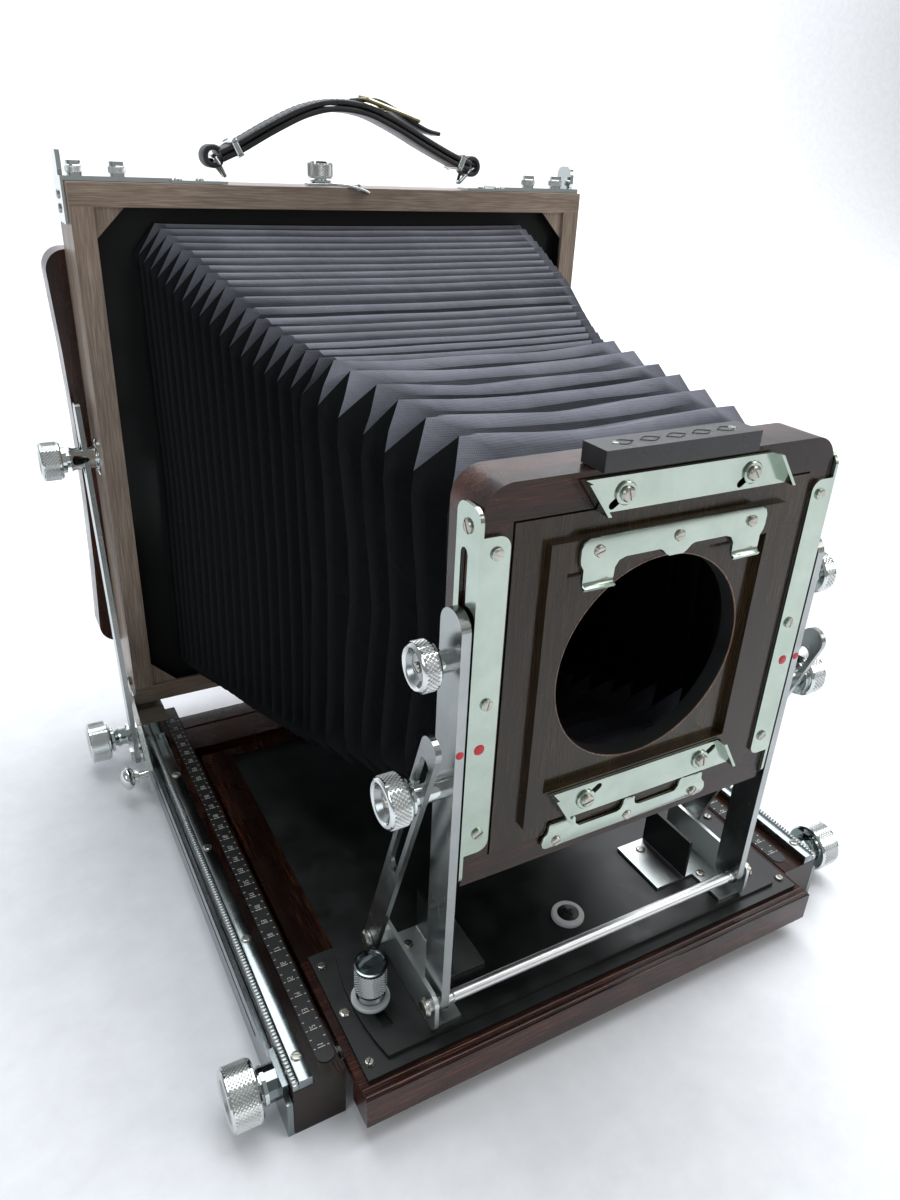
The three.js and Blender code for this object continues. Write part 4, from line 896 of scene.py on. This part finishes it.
def swing_lock():
    """Upright lock knob: fibre washer, waisted neck, fine-knurled grip, dished top with a wing."""
    low, high = corners("swing_lock_knob")
    plate_top = corners("swing_plate")[1].z
    radius = 7.8
    at = Vector(((low.x + high.x) / 2, (low.y + high.y) / 2, plate_top + 0.3))
    top = high.z - at.z
    up = (0, 0, 1)
    shape = Shape()
    turned(shape, at, up, [(9.2, 0), (9.2, 1.2), (8.6, 1.9), (5.6, 2.0)], 40, 1)
    body = [
        (5.2, 1.9), (6.8, 2.2), (7, 3.4), (6.2, 5), (6.4, 6), (radius - 0.5, 6.8), (radius - 0.5, top - 6)
    ]
    body += [
        (radius, top - 5.6), (radius, top - 4.6), (radius - 0.8, top - 4.4), (radius - 2, top - 6),
        (0.2, top - 7)
    ]
    turned(shape, at, up, body, 44)
    knurled(shape, at, up, radius - 0.1, 7.2, top - 6.4, 1.5, 0.4, 2)
    wing = [
        (-6.2, top - 8.4), (6.2, top - 8.4), (5.6, top - 3), (3.6, top - 0.6), (0.6, top), (-3.6, top - 1.6),
        (-5.8, top - 4)
    ]
    prism(shape, [(at.x + x, at.z + z) for x, z in wing], "y", at.y - 0.9, at.y + 0.9)
    piece = shape.make("swing_lock_turned", [dull_chrome, fibre, satin_steel], "swing_lock")
    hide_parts("swing_lock_knob")


swing_lock()


# ---------------------------------------------------------------- bed fittings
def toothed_rack(way, side):
    """Rack bar with real teeth beside a screwed chrome strip."""
    low, high = corners(f"rack_strip_{way}")
    inner, outer = sorted((low.x, high.x), key=abs)
    rack_in = outer - side * 2.5
    strip_out = rack_in - side * 0.3
    tooth = 2.0
    shape = Shape()
    block(shape, (min(strip_out, inner), low.y, low.z), (max(strip_out, inner), high.y, high.z - 0.9))
    base = low.z + 1.4
    root = low.z + 3.5
    crest = low.z + 4.7
    block(shape, (min(strip_out, outer), low.y, low.z), (max(strip_out, outer), high.y, base))
    steps = (0, 0.28, 0.44, 0.74)
    marks = [low.y + tooth * (i + step) for i in range(int((high.y - low.y) / tooth)) for step in steps]
    tops = [crest if index % 4 >= 2 else root for index in range(len(marks))]
    rows = [
        [(rack_in, y, base), (rack_in, y, z), (outer, y, z), (outer, y, base)] for y, z in zip(marks, tops)
    ]
    if side < 0:
        rows = [row[::-1] for row in rows]
    grid(shape, rows, finish=1)
    shape.add(rows[0], [[0, 1, 2, 3]], 1)
    shape.add(rows[-1], [[3, 2, 1, 0]], 1)
    gap = (high.y - low.y - 24) / 4
    middle = (inner + strip_out) / 2
    for i in range(5):
        screw(shape, (middle, low.y + 12 + gap * i, high.z - 0.95), (0, 0, 1), 2.5, 1.0, 0.4 + i, 2)
    piece = shape.make(
        f"toothed_rack_{way}", [dull_chrome, satin_steel, screw_nickel], "bed", bevel=0.22
    )
    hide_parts(f"rack_strip_{way}")


DIGITS = {  # strokes on a grid two wide and four high
    "0": ((0, 0, 2, 0), (2, 0, 2, 4), (2, 4, 0, 4), (0, 4, 0, 0)),
    "1": ((1, 0, 1, 4), (0, 3, 1, 4)),
    "2": ((0, 4, 2, 4), (2, 4, 2, 2), (2, 2, 0, 2), (0, 2, 0, 0), (0, 0, 2, 0)),
    "3": ((0, 4, 2, 4), (2, 4, 2, 0), (0, 2, 2, 2), (0, 0, 2, 0)),
    "4": ((0, 4, 0, 2), (0, 2, 2, 2), (2, 4, 2, 0)),
    "5": ((2, 4, 0, 4), (0, 4, 0, 2), (0, 2, 2, 2), (2, 2, 2, 0), (2, 0, 0, 0)),
    "6": ((2, 4, 0, 4), (0, 4, 0, 0), (0, 0, 2, 0), (2, 0, 2, 2), (2, 2, 0, 2)),
    "7": ((0, 4, 2, 4), (2, 4, 1, 0)),
    "8": ((0, 0, 2, 0), (2, 0, 2, 4), (2, 4, 0, 4), (0, 4, 0, 0), (0, 2, 2, 2)),
    "9": ((0, 0, 2, 0), (2, 0, 2, 4), (2, 4, 0, 4), (0, 4, 0, 2), (0, 2, 2, 2)),
}


def stroke(shape, a, b, z, width=0.32, high=0.12, finish=1):
    """A painted engraved line between two points of a level surface."""
    a, b = Vector(a), Vector(b)
    along = (b - a).normalized() * width / 2
    across = Vector((-along.y, along.x))
    outline = [a - along - across, b + along - across, b + along + across, a - along + across]
    prism(shape, [tuple(p) for p in outline], "z", z, z + high, finish)


def scale_strip(way, side):
    """Black focusing scale let into the rail: edge dots, long marks and plain numbers."""
    low, high = corners(f"rail_{way}")
    inner = low.x if side > 0 else high.x
    near = inner + side * 1.0
    far = inner + side * 9.4
    z = high.z + 0.45
    shape = Shape()
    front, back = low.y + 7, high.y - 3
    outline = [(near, back), (far, back)]
    for i in range(9):
        a = math.radians(20 * i + 10)
        middle = (near + far) / 2
        outline.append((middle + (far - near) / 2 * math.cos(a), front + 4 - 4 * math.sin(a)))
    prism(shape, outline, "z", high.z - 0.1, z)
    step = 5.0
    digit_wide = 0.45
    digit_high = 0.6
    count = int((back - front - 12) / step)
    for i in range(count):
        y = front + 8 + step * i
        for edge in (near + side * 0.9, far - side * 0.9):
            stroke(shape, (edge - 0.35, y), (edge + 0.35, y), z)
        if i % 2 == 0:
            middle = (near + far) / 2
            stroke(shape, (middle - 1.6, y), (middle + 1.6, y), z)
            for place, digit in enumerate(str(i // 2 + 1)):
                for x0, y0, x1, y1 in DIGITS[digit]:
                    foot_x = middle - 1.3
                    foot_y = y + 1.0 + place * 1.3
                    start = (foot_x + y0 * digit_high, foot_y + x0 * digit_wide)
                    end = (foot_x + y1 * digit_high, foot_y + x1 * digit_wide)
                    stroke(shape, start, end, z, 0.22)
    shape.make(f"focusing_scale_{way}", [enamel, white_paint], "bed")


for way, side in SIDES:
    toothed_rack(way, side)
    scale_strip(way, side)


def cross_rod():
    """Bright rod through the feet, with turned rings and slotted ends."""
    low, high = corners("cross_rod")
    radius = (high.z - low.z) / 2
    at = Vector((0, (low.y + high.y) / 2, (low.z + high.z) / 2))
    shape = Shape()
    leg_in = corners("leg_right")[0].x
    half = high.x
    profile = [(radius - 0.4, -half), (radius, -half + 0.5)]
    for ring in (-leg_in + 1, leg_in - 5):
        profile += [
            (radius, ring), (radius - 0.5, ring + 0.5), (radius - 0.5, ring + 2.5), (radius, ring + 3)
        ]
    profile += [(radius, half - 0.5), (radius - 0.4, half)]
    turned(shape, at, (1, 0, 0), profile, 36)
    for _, side in SIDES:
        screw(shape, at + Vector((side * (half - 0.2), 0, 0)), (side, 0, 0), 4.6, 2.2, 0.9, 1)
    piece = shape.make("cross_rod_turned", [satin_rod, screw_nickel], "swing_base")
    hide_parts("cross_rod")


cross_rod()


def swing_bush():
    """Washer and dark centre screw that the swing plate turns on."""
    high = corners("swing_plate")[1]
    centre = Vector((0, REAR_PLANE - 273, high.z + 0.25))
    shape = Shape()
    turned(shape, centre, (0, 0, 1), [(8.6, 0), (8.6, 1.6), (8.0, 2.5), (6.0, 2.6), (5.6, 2.2)], 48, 1)
    turned(shape, centre, (0, 0, 1), [(5.5, 0), (5.5, 2.45), (5.0, 2.75), (0.2, 2.8)], 40)
    for turn in (0.3, 0.3 + math.pi / 2):
        along = Vector((math.cos(turn), math.sin(turn), 0))
        across = Vector((-along.y, along.x, 0))
        cross = [centre + along * 3.2 * a + across * 0.5 * b for a, b in ((-1, -1), (1, -1), (1, 1), (-1, 1))]
        prism(shape, [(p.x, p.y) for p in cross], "z", centre.z + 2.7, centre.z + 2.95, 2)
    shape.make("swing_bush", [enamel, fibre, nickel], "front_slide")


swing_bush()


def front_bead():
    """Moulded bead and quirk along the slide's front edge."""
    low, high = corners("front_board")
    shape = Shape()
    for y, radius, sink in ((low.y + 2.3, 1.9, 0.9), (low.y + 6.1, 1.1, 0.75)):
        arc = [
            (radius * math.cos(math.radians(a)), radius * math.sin(math.radians(a)))
            for a in range(0, 181, 15)
        ]
        outline = [(y + p, high.z - sink + q) for p, q in arc] + [
            (y - radius, high.z - 2), (y + radius, high.z - 2)
        ]
        prism(shape, outline, "x", low.x + 0.4, high.x - 0.4)
    shape.make("front_bead", [wood_x], "front_slide")


front_bead()


def board_screws():
    """Screws of the bed's black plates, the feet and the slide."""
    plate_low, plate_high = corners("slide_plate")
    slide = Shape()
    top = plate_high.z if plate_high.z < 33 else 31.3
    for x in (-126, 126):
        for y in (plate_low.y + 8, plate_low.y + 36, plate_high.y - 8):
            screw(slide, (x, y, top - 0.05), (0, 0, 1), 2.6, 1.0, x * 0.01 + y)
    slide.make("slide_plate_screws", [screw_nickel], "front_slide")
    for way, side in SIDES:
        low, high = corners(f"foot_bracket_{way}")
        feet = Shape()
        sole_top = corners("swing_plate")[1].z + 0.3 + 1.6
        for x, y in ((84, high.y - 12), (84, high.y - 40), (66, high.y - 10)):
            screw(feet, (side * x, y, sole_top - 0.05), (0, 0, 1), 2.6, 1.1, y)
        outer = high.x if side > 0 else low.x
        screw(feet, (outer - side * 0.6, REAR_PLANE - 250, 45), (side, 0, 0), 4.6, 1.8, 0.8)
        feet.make(f"foot_screws_{way}", [screw_nickel], "swing_base")


board_screws()


# ---------------------------------------------------------------- front fittings
def front_screws():
    """Screws and index dots on the front frame and the lens board."""
    heads = Shape()
    for way, side in SIDES:
        low, high = corners(f"angle_plate_{way}")
        for z in (144, 206, 267.5):
            screw(heads, (side * 79.5, low.y + 0.85, z), (0, -1, 0), 2.5, 1.2, z)
    low, high = corners("top_bracket")
    for x in (-38, 0, 38):
        screw(heads, (x, low.y + 0.85, high.z - 5.5), (0, -1, 0), 2.4, 1.2, x)
    low, high = corners("bottom_bracket")
    for x in (-39, 0, 39):
        screw(heads, (x, low.y + 0.85, low.z + 3), (0, -1, 0), 2.3, 1.1, x + 1)
    for way, side in SIDES:
        low, high = corners(f"angle_plate_{way}")
        outer = high.x if side > 0 else low.x
        screw(heads, (outer - side * 0.1, low.y + 9, high.z - 8), (side, 0, 0), 2.9, 1.1, 1)
    heads.make("front_screws", [screw_nickel], "front_standard")

    dots = Shape()
    angle = corners("angle_plate_left")
    for side in (-1, 1):
        turned(
            dots, (side * 81.4, angle[0].y + 0.95, 186), (0, -1, 0), [(2.4, 0), (2.1, 0.4), (0.9, 0.6)], 24
        )
    dots.make("index_dots_front", [red_paint], "front_standard")
    marks = Shape()
    for way, side in SIDES:
        low, high = corners(f"leg_{way}")
        turned(
            marks, ((low.x + high.x) / 2, low.y + 0.1, 186), (0, -1, 0), [(1.8, 0), (1.6, 0.35), (0.7, 0.5)],
            24
        )
    marks.make("index_dots_legs", [red_paint], "legs")


def slider_screws(node_name, body, places):
    """Clamping screws with washers through the slots of a slider."""
    plate_front = corners(node_name)[1].y - 1.6
    shape = Shape()
    for x, z in places:
        turned(
            shape, (x, plate_front - 0.08, z), (0, -1, 0), [(4.6, 0), (4.6, 0.7), (4.2, 1.0), (2.2, 1.05)],
            32, 1
        )
        screw(shape, (x, plate_front - 0.9, z), (0, -1, 0), 3.1, 1.9, x)
    shape.make(f"{node_name}_screws", [screw_nickel, nickel], body)


front_screws()
top_low, top_high = corners("top_slider")
low_low, low_high = corners("bottom_slider")
top_mid = (top_low.z + top_high.z) / 2
low_mid = (low_low.z + low_high.z) / 2
slider_screws("top_slider", "front_standard", ((-27, top_mid), (35.5, top_mid)))
slider_screws("bottom_slider", "front_standard", ((-28.5, low_mid), (36, low_mid)))


def mirrored(outline):
    """An outline given for the right half, from its middle bottom to its middle top, and its mirror image."""
    return list(outline) + [(-x, z) for x, z in outline[::-1]]


def formed_brackets():
    """Brackets cut from sheet with rounded shoulders; the upper one's hooks curl forward."""
    low, high = corners("top_bracket")
    back = high.y
    top = high.z
    outline = [(3.5, top - 13.6), (5.2, top - 12.6), (7, top - 10.8), (8.6, top - 10)]
    outline += [(25, top - 10), (28, top - 11), (29.6, top - 13.5), (29.8, top - 17.5), (31, top - 18.6)]
    outline += [(43, top - 18.6), (44.2, top - 17.5), (44.2, top - 12.5), (45.6, top - 10.2), (46, top - 8)]
    outline += [(46, top - 4), (45, top - 1.4), (42.5, top)]
    shape = Shape()
    prism(shape, mirrored(outline), "y", back - 1.6, back)
    for side in (-1, 1):
        path = [
            (side * 37, back - 0.8, top - 16.4), (side * 37, back - 0.9, top - 18),
            (side * 37, back - 1.7, top - 19.4)
        ]
        path.append((side * 37, back - 3.0, top - 20.1))
        swept(shape, path, band(14.4, 1.5, 0.6), side=(1, 0, 0))
    upper = shape.make("top_bracket_formed", [nickel], "front_standard", bevel=0.3)
    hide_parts("top_bracket")

    low, high = corners("bottom_bracket")
    back = high.y
    foot = low.z
    outline = [
        (44, foot), (45.8, foot + 0.8), (46.5, foot + 3), (45.8, foot + 6), (44.4, foot + 7.4),
        (43.6, foot + 9)
    ]
    outline += [
        (43.4, foot + 12), (42, foot + 13.8), (31, foot + 13.8), (29.6, foot + 12.4), (29.2, foot + 9),
        (27, foot + 7)
    ]
    outline += [(6.4, foot + 7), (4, foot + 8), (3.2, foot + 10), (3.2, foot + 12), (1.8, foot + 13.8)]
    shape = Shape()
    prism(shape, mirrored(outline), "y", back - 1.6, back)
    for x, half in ((-37, 6), (37, 6), (0, 2.4)):
        # the lips stay 0.6 mm behind the lower slider, which drops past them
        path = [(x, back - 0.8, foot + 11.4), (x, back - 1.1, foot + 12.8), (x, back - 1.4, foot + 13.7)]
        swept(shape, path, band(half * 2, 1.4, 0.5), side=(1, 0, 0))
    lower = shape.make("bottom_bracket_formed", [nickel], "front_standard", bevel=0.3)
    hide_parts("bottom_bracket")


formed_brackets()


def lens_rim():
    """Pale worn edge round the lens board's hole and the black tube behind it."""
    face = corners("lens_board")[0].y + 3.5
    centre = (0, face, 205.6)
    shape = Shape()
    turned(shape, centre, (0, 1, 0), [(46.7, 7.9), (46.7, 0.3)], 96, 1, capped=False)
    turned(
        shape, centre, (0, 1, 0), [(46.7, 0.3), (46.8, -0.1), (47.25, -0.12), (47.3, 0.3)], 96, 0,
        capped=False
    )
    shape.make("lens_hole_edge", [worn_edge, matt_black], "front_standard")


lens_rim()


def level_ornament():
    """Plain lozenge pattern cut in the level block, with two bright pins."""
    low, high = corners("level_block")
    shape = Shape()
    middle = (low.y + high.y) / 2
    face = high.z + 0.05
    width = high.x - low.x
    half_long = 4.6
    half_wide = 2.6
    for i in range(5):
        x = low.x + width * (i + 1) / 6
        lozenge = []
        for way in (-1, 1):
            start = (x + way * half_long, middle, face)
            bulge = (x, middle + way * half_wide, face)
            end = (x - way * half_long, middle, face)
            lozenge += curve_through([start, bulge, end], 6)[:-1]
        swept(shape, lozenge, circle(0.22, 6), side=(0, 0, 1), closed=True)
    for x in (low.x + 9, high.x - 9):
        screw(shape, (x, middle, high.z - 0.4), (0, 0, 1), 1.7, 0.9, x, 1)
    shape.make("level_block_pattern", [enamel, nickel], "front_standard")


level_ornament()


# ---------------------------------------------------------------- rear fittings
def top_fittings():
    """Knurled bolts and rivets on the plates on top of the rear frame."""
    for way, side in SIDES:
        low, high = corners(f"top_plate_{way}")
        plate = REAR_HIGH.z + 0.3 + 2.2
        shape = Shape()
        for x in (155, 133):
            at = (side * x, REAR_PLANE + 20, plate - 0.05)
            turned(
                shape, at, (0, 0, 1),
                [
                    (3.4, 0), (3.4, 0.8), (4.3, 1.1), (4.3, 4.6), (3.7, 5.2), (2.2, 5.2), (2.0, 4.8),
                    (0.2, 4.8)
                ],
                36
            )
            knurled(shape, at, (0, 0, 1), 4.7, 1.4, 4.4, 1.2, 0.3, 1)
        for x in (103, 91):
            turned(
                shape, (side * x, REAR_PLANE + 10, REAR_HIGH.z + 1.6), (0, 0, 1),
                [(2.4, 0), (2.2, 0.7), (1.4, 1.2), (0.3, 1.35)], 24, 2
            )
        outer = high.x if side > 0 else low.x
        for z in (REAR_HIGH.z - 7, REAR_HIGH.z - 14):
            screw(shape, (outer - side * 0.1, REAR_PLANE + 20, z), (side, 0, 0), 2.4, 1.0, z, 2)
        shape.make(
            f"top_plate_fittings_{way}", [chrome, knurl_chrome, screw_nickel], "rear_standard"
        )
        collar = Shape()
        at = (side * REAR_HIGH.x, REAR_PLANE + 22, 214)
        turned(collar, at, (side, 0, 0), [(11.5, 0), (11.5, 0.9), (10.4, 1.5), (7.5, 1.6), (7.0, 2.0)], 40)
        for z in (-8.6, 8.6):
            screw(
                collar, (side * (REAR_HIGH.x + 1.3), REAR_PLANE + 22, 214 + z), (side, 0, 0), 1.5, 0.7, z, 1
            )
        collar.make(f"knob_escutcheon_{way}", [chrome, screw_nickel], "rear_standard")


top_fittings()


def latch():
    """Facetted bright knob on a lever plate that bends over the front edge."""
    low, high = corners("latch_knob")
    at = Vector(((low.x + high.x) / 2, (low.y + high.y) / 2, REAR_HIGH.z + 0.3))
    top = high.z - at.z
    shape = Shape()
    turned(shape, at, (0, 0, 1), [(4, 0.2), (4, 1.6), (6.6, 2.2), (6.6, 3.2), (3.8, 3.6), (3.8, 4.2)], 36)
    turned(
        shape, at, (0, 0, 1),
        [
            (7.2, 4.2), (7.2, top - 1.2), (6.2, top - 0.4), (2.8, top - 0.4), (2.6, top - 0.9),
            (0.2, top - 0.9)
        ],
        12
    )
    knurled(shape, at, (0, 0, 1), 7.5, 5, top - 1.4, 1.5, 0.3, 1)
    path = curve_through(
        [
            at + Vector(p)
            for p in ((-10, -3, 0.9), (0, -4, 1.2), (12, -8, 1.0), (20, -13, -0.6), (25, -15, -2.6))
        ],
        6
    )
    swept(shape, path, band(7.5, 1.5, 0.6), side=(0.25, 1, 0))
    pin = at + Vector((19, -12.5, 0.1))
    turned(shape, pin, (0, 0, 1), [(1.6, -1.5), (1.6, 1.4), (1.1, 1.8), (0.2, 1.9)], 20)
    piece = shape.make("latch_turned", [chrome, knurl_chrome], "latch")
    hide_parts("latch_knob")


latch()


def handle():
    """Two-layer leather strap, stitched, looped on wire rings, with keepers and a buckle."""
    low, high = corners("handle_strap")
    y = (low.y + high.y) / 2
    base = REAR_HIGH.z
    shape = Shape()
    wide = 17.0
    arch = (
        (-80, 14.4), (-68, 19.8), (-50, 29.4), (-30, 38.5), (-12, 42.5), (8, 41), (28, 34), (48, 25),
        (66, 17.6), (77, 14)
    )
    ends = ((-83.5, 14.1, -1), (80, 13.9, 1))
    end_width = 12.0  # narrower than the strap, so that the loops clear the plates as the handle swings
    pivot_height = 4.5

    def run(points, offset):
        line = curve_through([(x, y, base + z) for x, z in points], 6)
        moved = []
        for i, p in enumerate(line):
            a, b = line[max(i - 1, 0)], line[min(i + 1, len(line) - 1)]
            t = (b - a).normalized()
            moved.append(p + Vector((-t.z, 0, t.x)) * offset)
        return moved

    swept(shape, run(arch, -1.7), band(wide, 3.0, 1.1))
    swept(shape, run(arch, 1.7), band(wide, 3.0, 1.1))
    for x, z, side in ends:
        loop = []
        for i in range(25):
            a = math.radians(-150 + 300 * i / 24)
            loop.append(Vector((x + side * 4.6 * math.cos(a), y, base + z + 4.6 * math.sin(a) * -side)))
        swept(shape, loop, band(end_width, 2.8, 1.0))
    tip = ((2, 46), (14, 46.5), (26, 42.5), (38, 36.5), (48, 32.5), (56, 31))
    line = run(tip, 0)
    swept(shape, line, band(13.5, 2.2, 0.9))
    stitches = run(arch, 3.1)
    for edge in (-wide / 2 + 2.2, wide / 2 - 2.2):
        for i in range(3, len(stitches) - 3):
            a, b = stitches[i], stitches[i + 1]
            offset = Vector((0, edge, 0))
            swept(shape, [a.lerp(b, 0.15) + offset, a.lerp(b, 0.75) + offset], circle(0.38, 6), finish=1)
    piece = shape.make("handle_strap_leather", [leather, leather_thread], "handle")
    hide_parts("handle_strap")

    metal = Shape()
    for x, z, side in ends:
        foot = Vector((x + side * -6.5, y, base + pivot_height))
        eye = Vector((x, y, base + z))
        half = end_width / 2 + 1.2
        shoulder = foot.lerp(eye, 0.55)
        ring = [
            eye + Vector((0, -half, 0)), eye + Vector((0, half, 0)), shoulder + Vector((0, half * 0.66, 0))
        ]
        ring += [
            foot + Vector((0, 1.2, 0)), foot + Vector((0, -1.2, 0)), shoulder + Vector((0, -half * 0.66, 0))
        ]
        path = []
        for a, b in zip(ring, ring[1:] + ring[:1]):
            path += [a.lerp(b, t) for t in (0.12, 0.5, 0.88)]
        swept(metal, path, circle(1.15, 10), side=(0.3, 0.1, 0.9), closed=True)
    for x, z, lean in ((-71, 18.5, 0.46), (71, 16, -0.4)):
        centre = Vector((x, y, base + z))
        along = Vector((math.cos(lean), 0, math.sin(lean)))
        up = Vector((-along.z, 0, along.x))
        loop = []
        for a, b in ((-1, -1), (1, -1), (1, 1), (-1, 1)):
            for da, db in (((0.88, 1), (1, 0.8)) if a * b > 0 else ((1, 0.8), (0.88, 1))):
                loop.append(centre + Vector((0, a * da * (wide / 2 + 1.1), 0)) + up * b * db * 4.6)
        swept(metal, loop, band(3.4, 1.3, 0.5), side=along, closed=True)
    metal.make("handle_rings", [chrome], "handle")

    buckle = Shape()
    left, right = Vector((6, y, base + 46.5)), Vector((41, y, base + 37.5))
    half = wide / 2 + 2.4
    edge = []
    for p, q in ((left, 1), (right, -1)):
        edge += [p + Vector((q * 0.8, -half * q * 0.86, 0)), p + Vector((0, -half * q * 0.6, 0))]
        edge += [p + Vector((0, half * q * 0.6, 0)), p + Vector((q * 0.8, half * q * 0.86, 0))]
    swept(buckle, edge, circle(1.3, 10), side=(0, 0, 1), closed=True)
    middle = left.lerp(right, 0.42)
    swept(
        buckle, [middle + Vector((0, -half * 0.86, 0)), middle + Vector((0, half * 0.86, 0))],
        circle(1.1, 10), side=(0, 0, 1)
    )
    swept(
        buckle,
        [
            middle + Vector((0, 0, 1.2)), left.lerp(right, 0.15) + Vector((0, 0, 2.3)),
            left + Vector((-1, 0, 1.6))
        ],
        circle(0.9, 8)
    )
    buckle.make("handle_buckle", [brass], "handle")


leather_thread = satin_enamel(
    "waxed_black_thread", [(0.3, "#1d1c1d"), (0.7, "#343234")], (0.5, 0.7), 3.0, 0.2
)
handle()


def back_details():
    """Grid on the ground glass and the screws of the spring back."""
    low, high = corners("ground_glass")
    y = high.y + 0.05
    shape = Shape()
    lines = 8
    for i in range(1, lines):
        x = low.x + (high.x - low.x) * i / lines
        prism(
            shape, [(x - 0.12, low.z), (x + 0.12, low.z), (x + 0.12, high.z), (x - 0.12, high.z)], "y", y,
            y + 0.06
        )
    for i in range(1, lines - 1):
        z = low.z + (high.z - low.z) * i / (lines - 1)
        prism(
            shape, [(low.x, z - 0.12), (high.x, z - 0.12), (high.x, z + 0.12), (low.x, z + 0.12)], "y", y,
            y + 0.06
        )
    shape.make("glass_grid", [matt_black], "spring_back")
    low, high = corners("back_frame")
    springs = Shape()
    for side in (-1, 1):
        x = side * (high.x - 22)
        path = curve_through(
            [
                (x, high.y + 0.4, low.z + 26), (x, high.y + 3.4, (low.z + high.z) / 2),
                (x, high.y + 0.4, high.z - 26)
            ],
            12
        )
        swept(springs, path, band(9, 1.0, 0.4), side=(1, 0, 0))
        for z in (low.z + 30, high.z - 30):
            screw(springs, (x, high.y + 0.9, z), (0, 1, 0), 3.2, 1.4, z, 1)
    springs.make("back_springs", [satin_steel, screw_nickel], "spring_back")


back_details()


# ---------------------------------------------------------------- light, floor and camera
def backdrop():
    """White paper that curves up behind the object."""
    shape = Shape()
    profile = [(-2600, 0), (1500, 0)]
    for i in range(1, 13):
        a = math.radians(90 * i / 12)
        profile.append((1500 + 900 * math.sin(a), 900 - 900 * math.cos(a)))
    profile.append((2400, 3600))
    rows = [[(-4000, y, z), (4000, y, z)] for y, z in profile]
    grid(shape, rows, closed=False)
    mesh = bpy.data.meshes.new("paper_backdrop")
    mesh.from_pydata([p * MM for p in shape.points], [], shape.faces)
    mesh.materials.append(paper)
    mesh.shade_smooth()
    piece = bpy.data.objects.new("paper_backdrop", mesh)
    bpy.context.scene.collection.objects.link(piece)


paper = satin_enamel("white_cotton_paper", [(0.3, "#e4e5e9"), (0.7, "#eeeff2")], (0.8, 0.95), 0.2, 0.1)
backdrop()

CENTRE = Vector((0, -0.02, 0.19))


def lamp(name, place, size, power, colour="#ffffff", aim=CENTRE):
    light = bpy.data.lights.new(name, "AREA")
    light.shape = "RECTANGLE"
    light.size, light.size_y = size
    light.energy = power
    light.color = hexed(colour)[:3]
    thing = bpy.data.objects.new(name, light)
    thing.location = place
    thing.rotation_euler = (Vector(aim) - Vector(place)).to_track_quat("-Z", "Y").to_euler()
    bpy.context.scene.collection.objects.link(thing)


lamp("window_light", (0.8, 0.6, 2.7), (3.2, 2.6), 118, "#f9fcff")
lamp("room_light", (1.7, -1.6, 1.4), (1.2, 1.2), 12, "#fff8f0")
lamp("left_fill", (-2.0, -0.8, 1.3), (1.0, 1.0), 9, "#eef6ff")

lamp("wall_light", (1.9, 0.9, 2.4), (1.6, 1.6), 38, "#ffffff", (3.0, 2.4, 1.3))

world = bpy.data.worlds.new("studio")
bpy.context.scene.world = world
world.use_nodes = True
sky = world.node_tree.nodes["Background"]
sky.inputs["Color"].default_value = hexed("#eef2f2")
sky.inputs["Strength"].default_value = 0.34
bpy.context.scene.view_settings.view_transform = "Standard"

camera_data = bpy.data.cameras.new("camera")
camera_data.lens = 26.775
camera = bpy.data.objects.new("camera", camera_data)
camera.location = (-0.2322, -0.4117, 0.3902)
camera.rotation_euler = Euler([math.radians(a) for a in (63.193, -2.463, -28.622)], "XYZ")
bpy.context.scene.collection.objects.link(camera)
bpy.context.scene.camera = camera
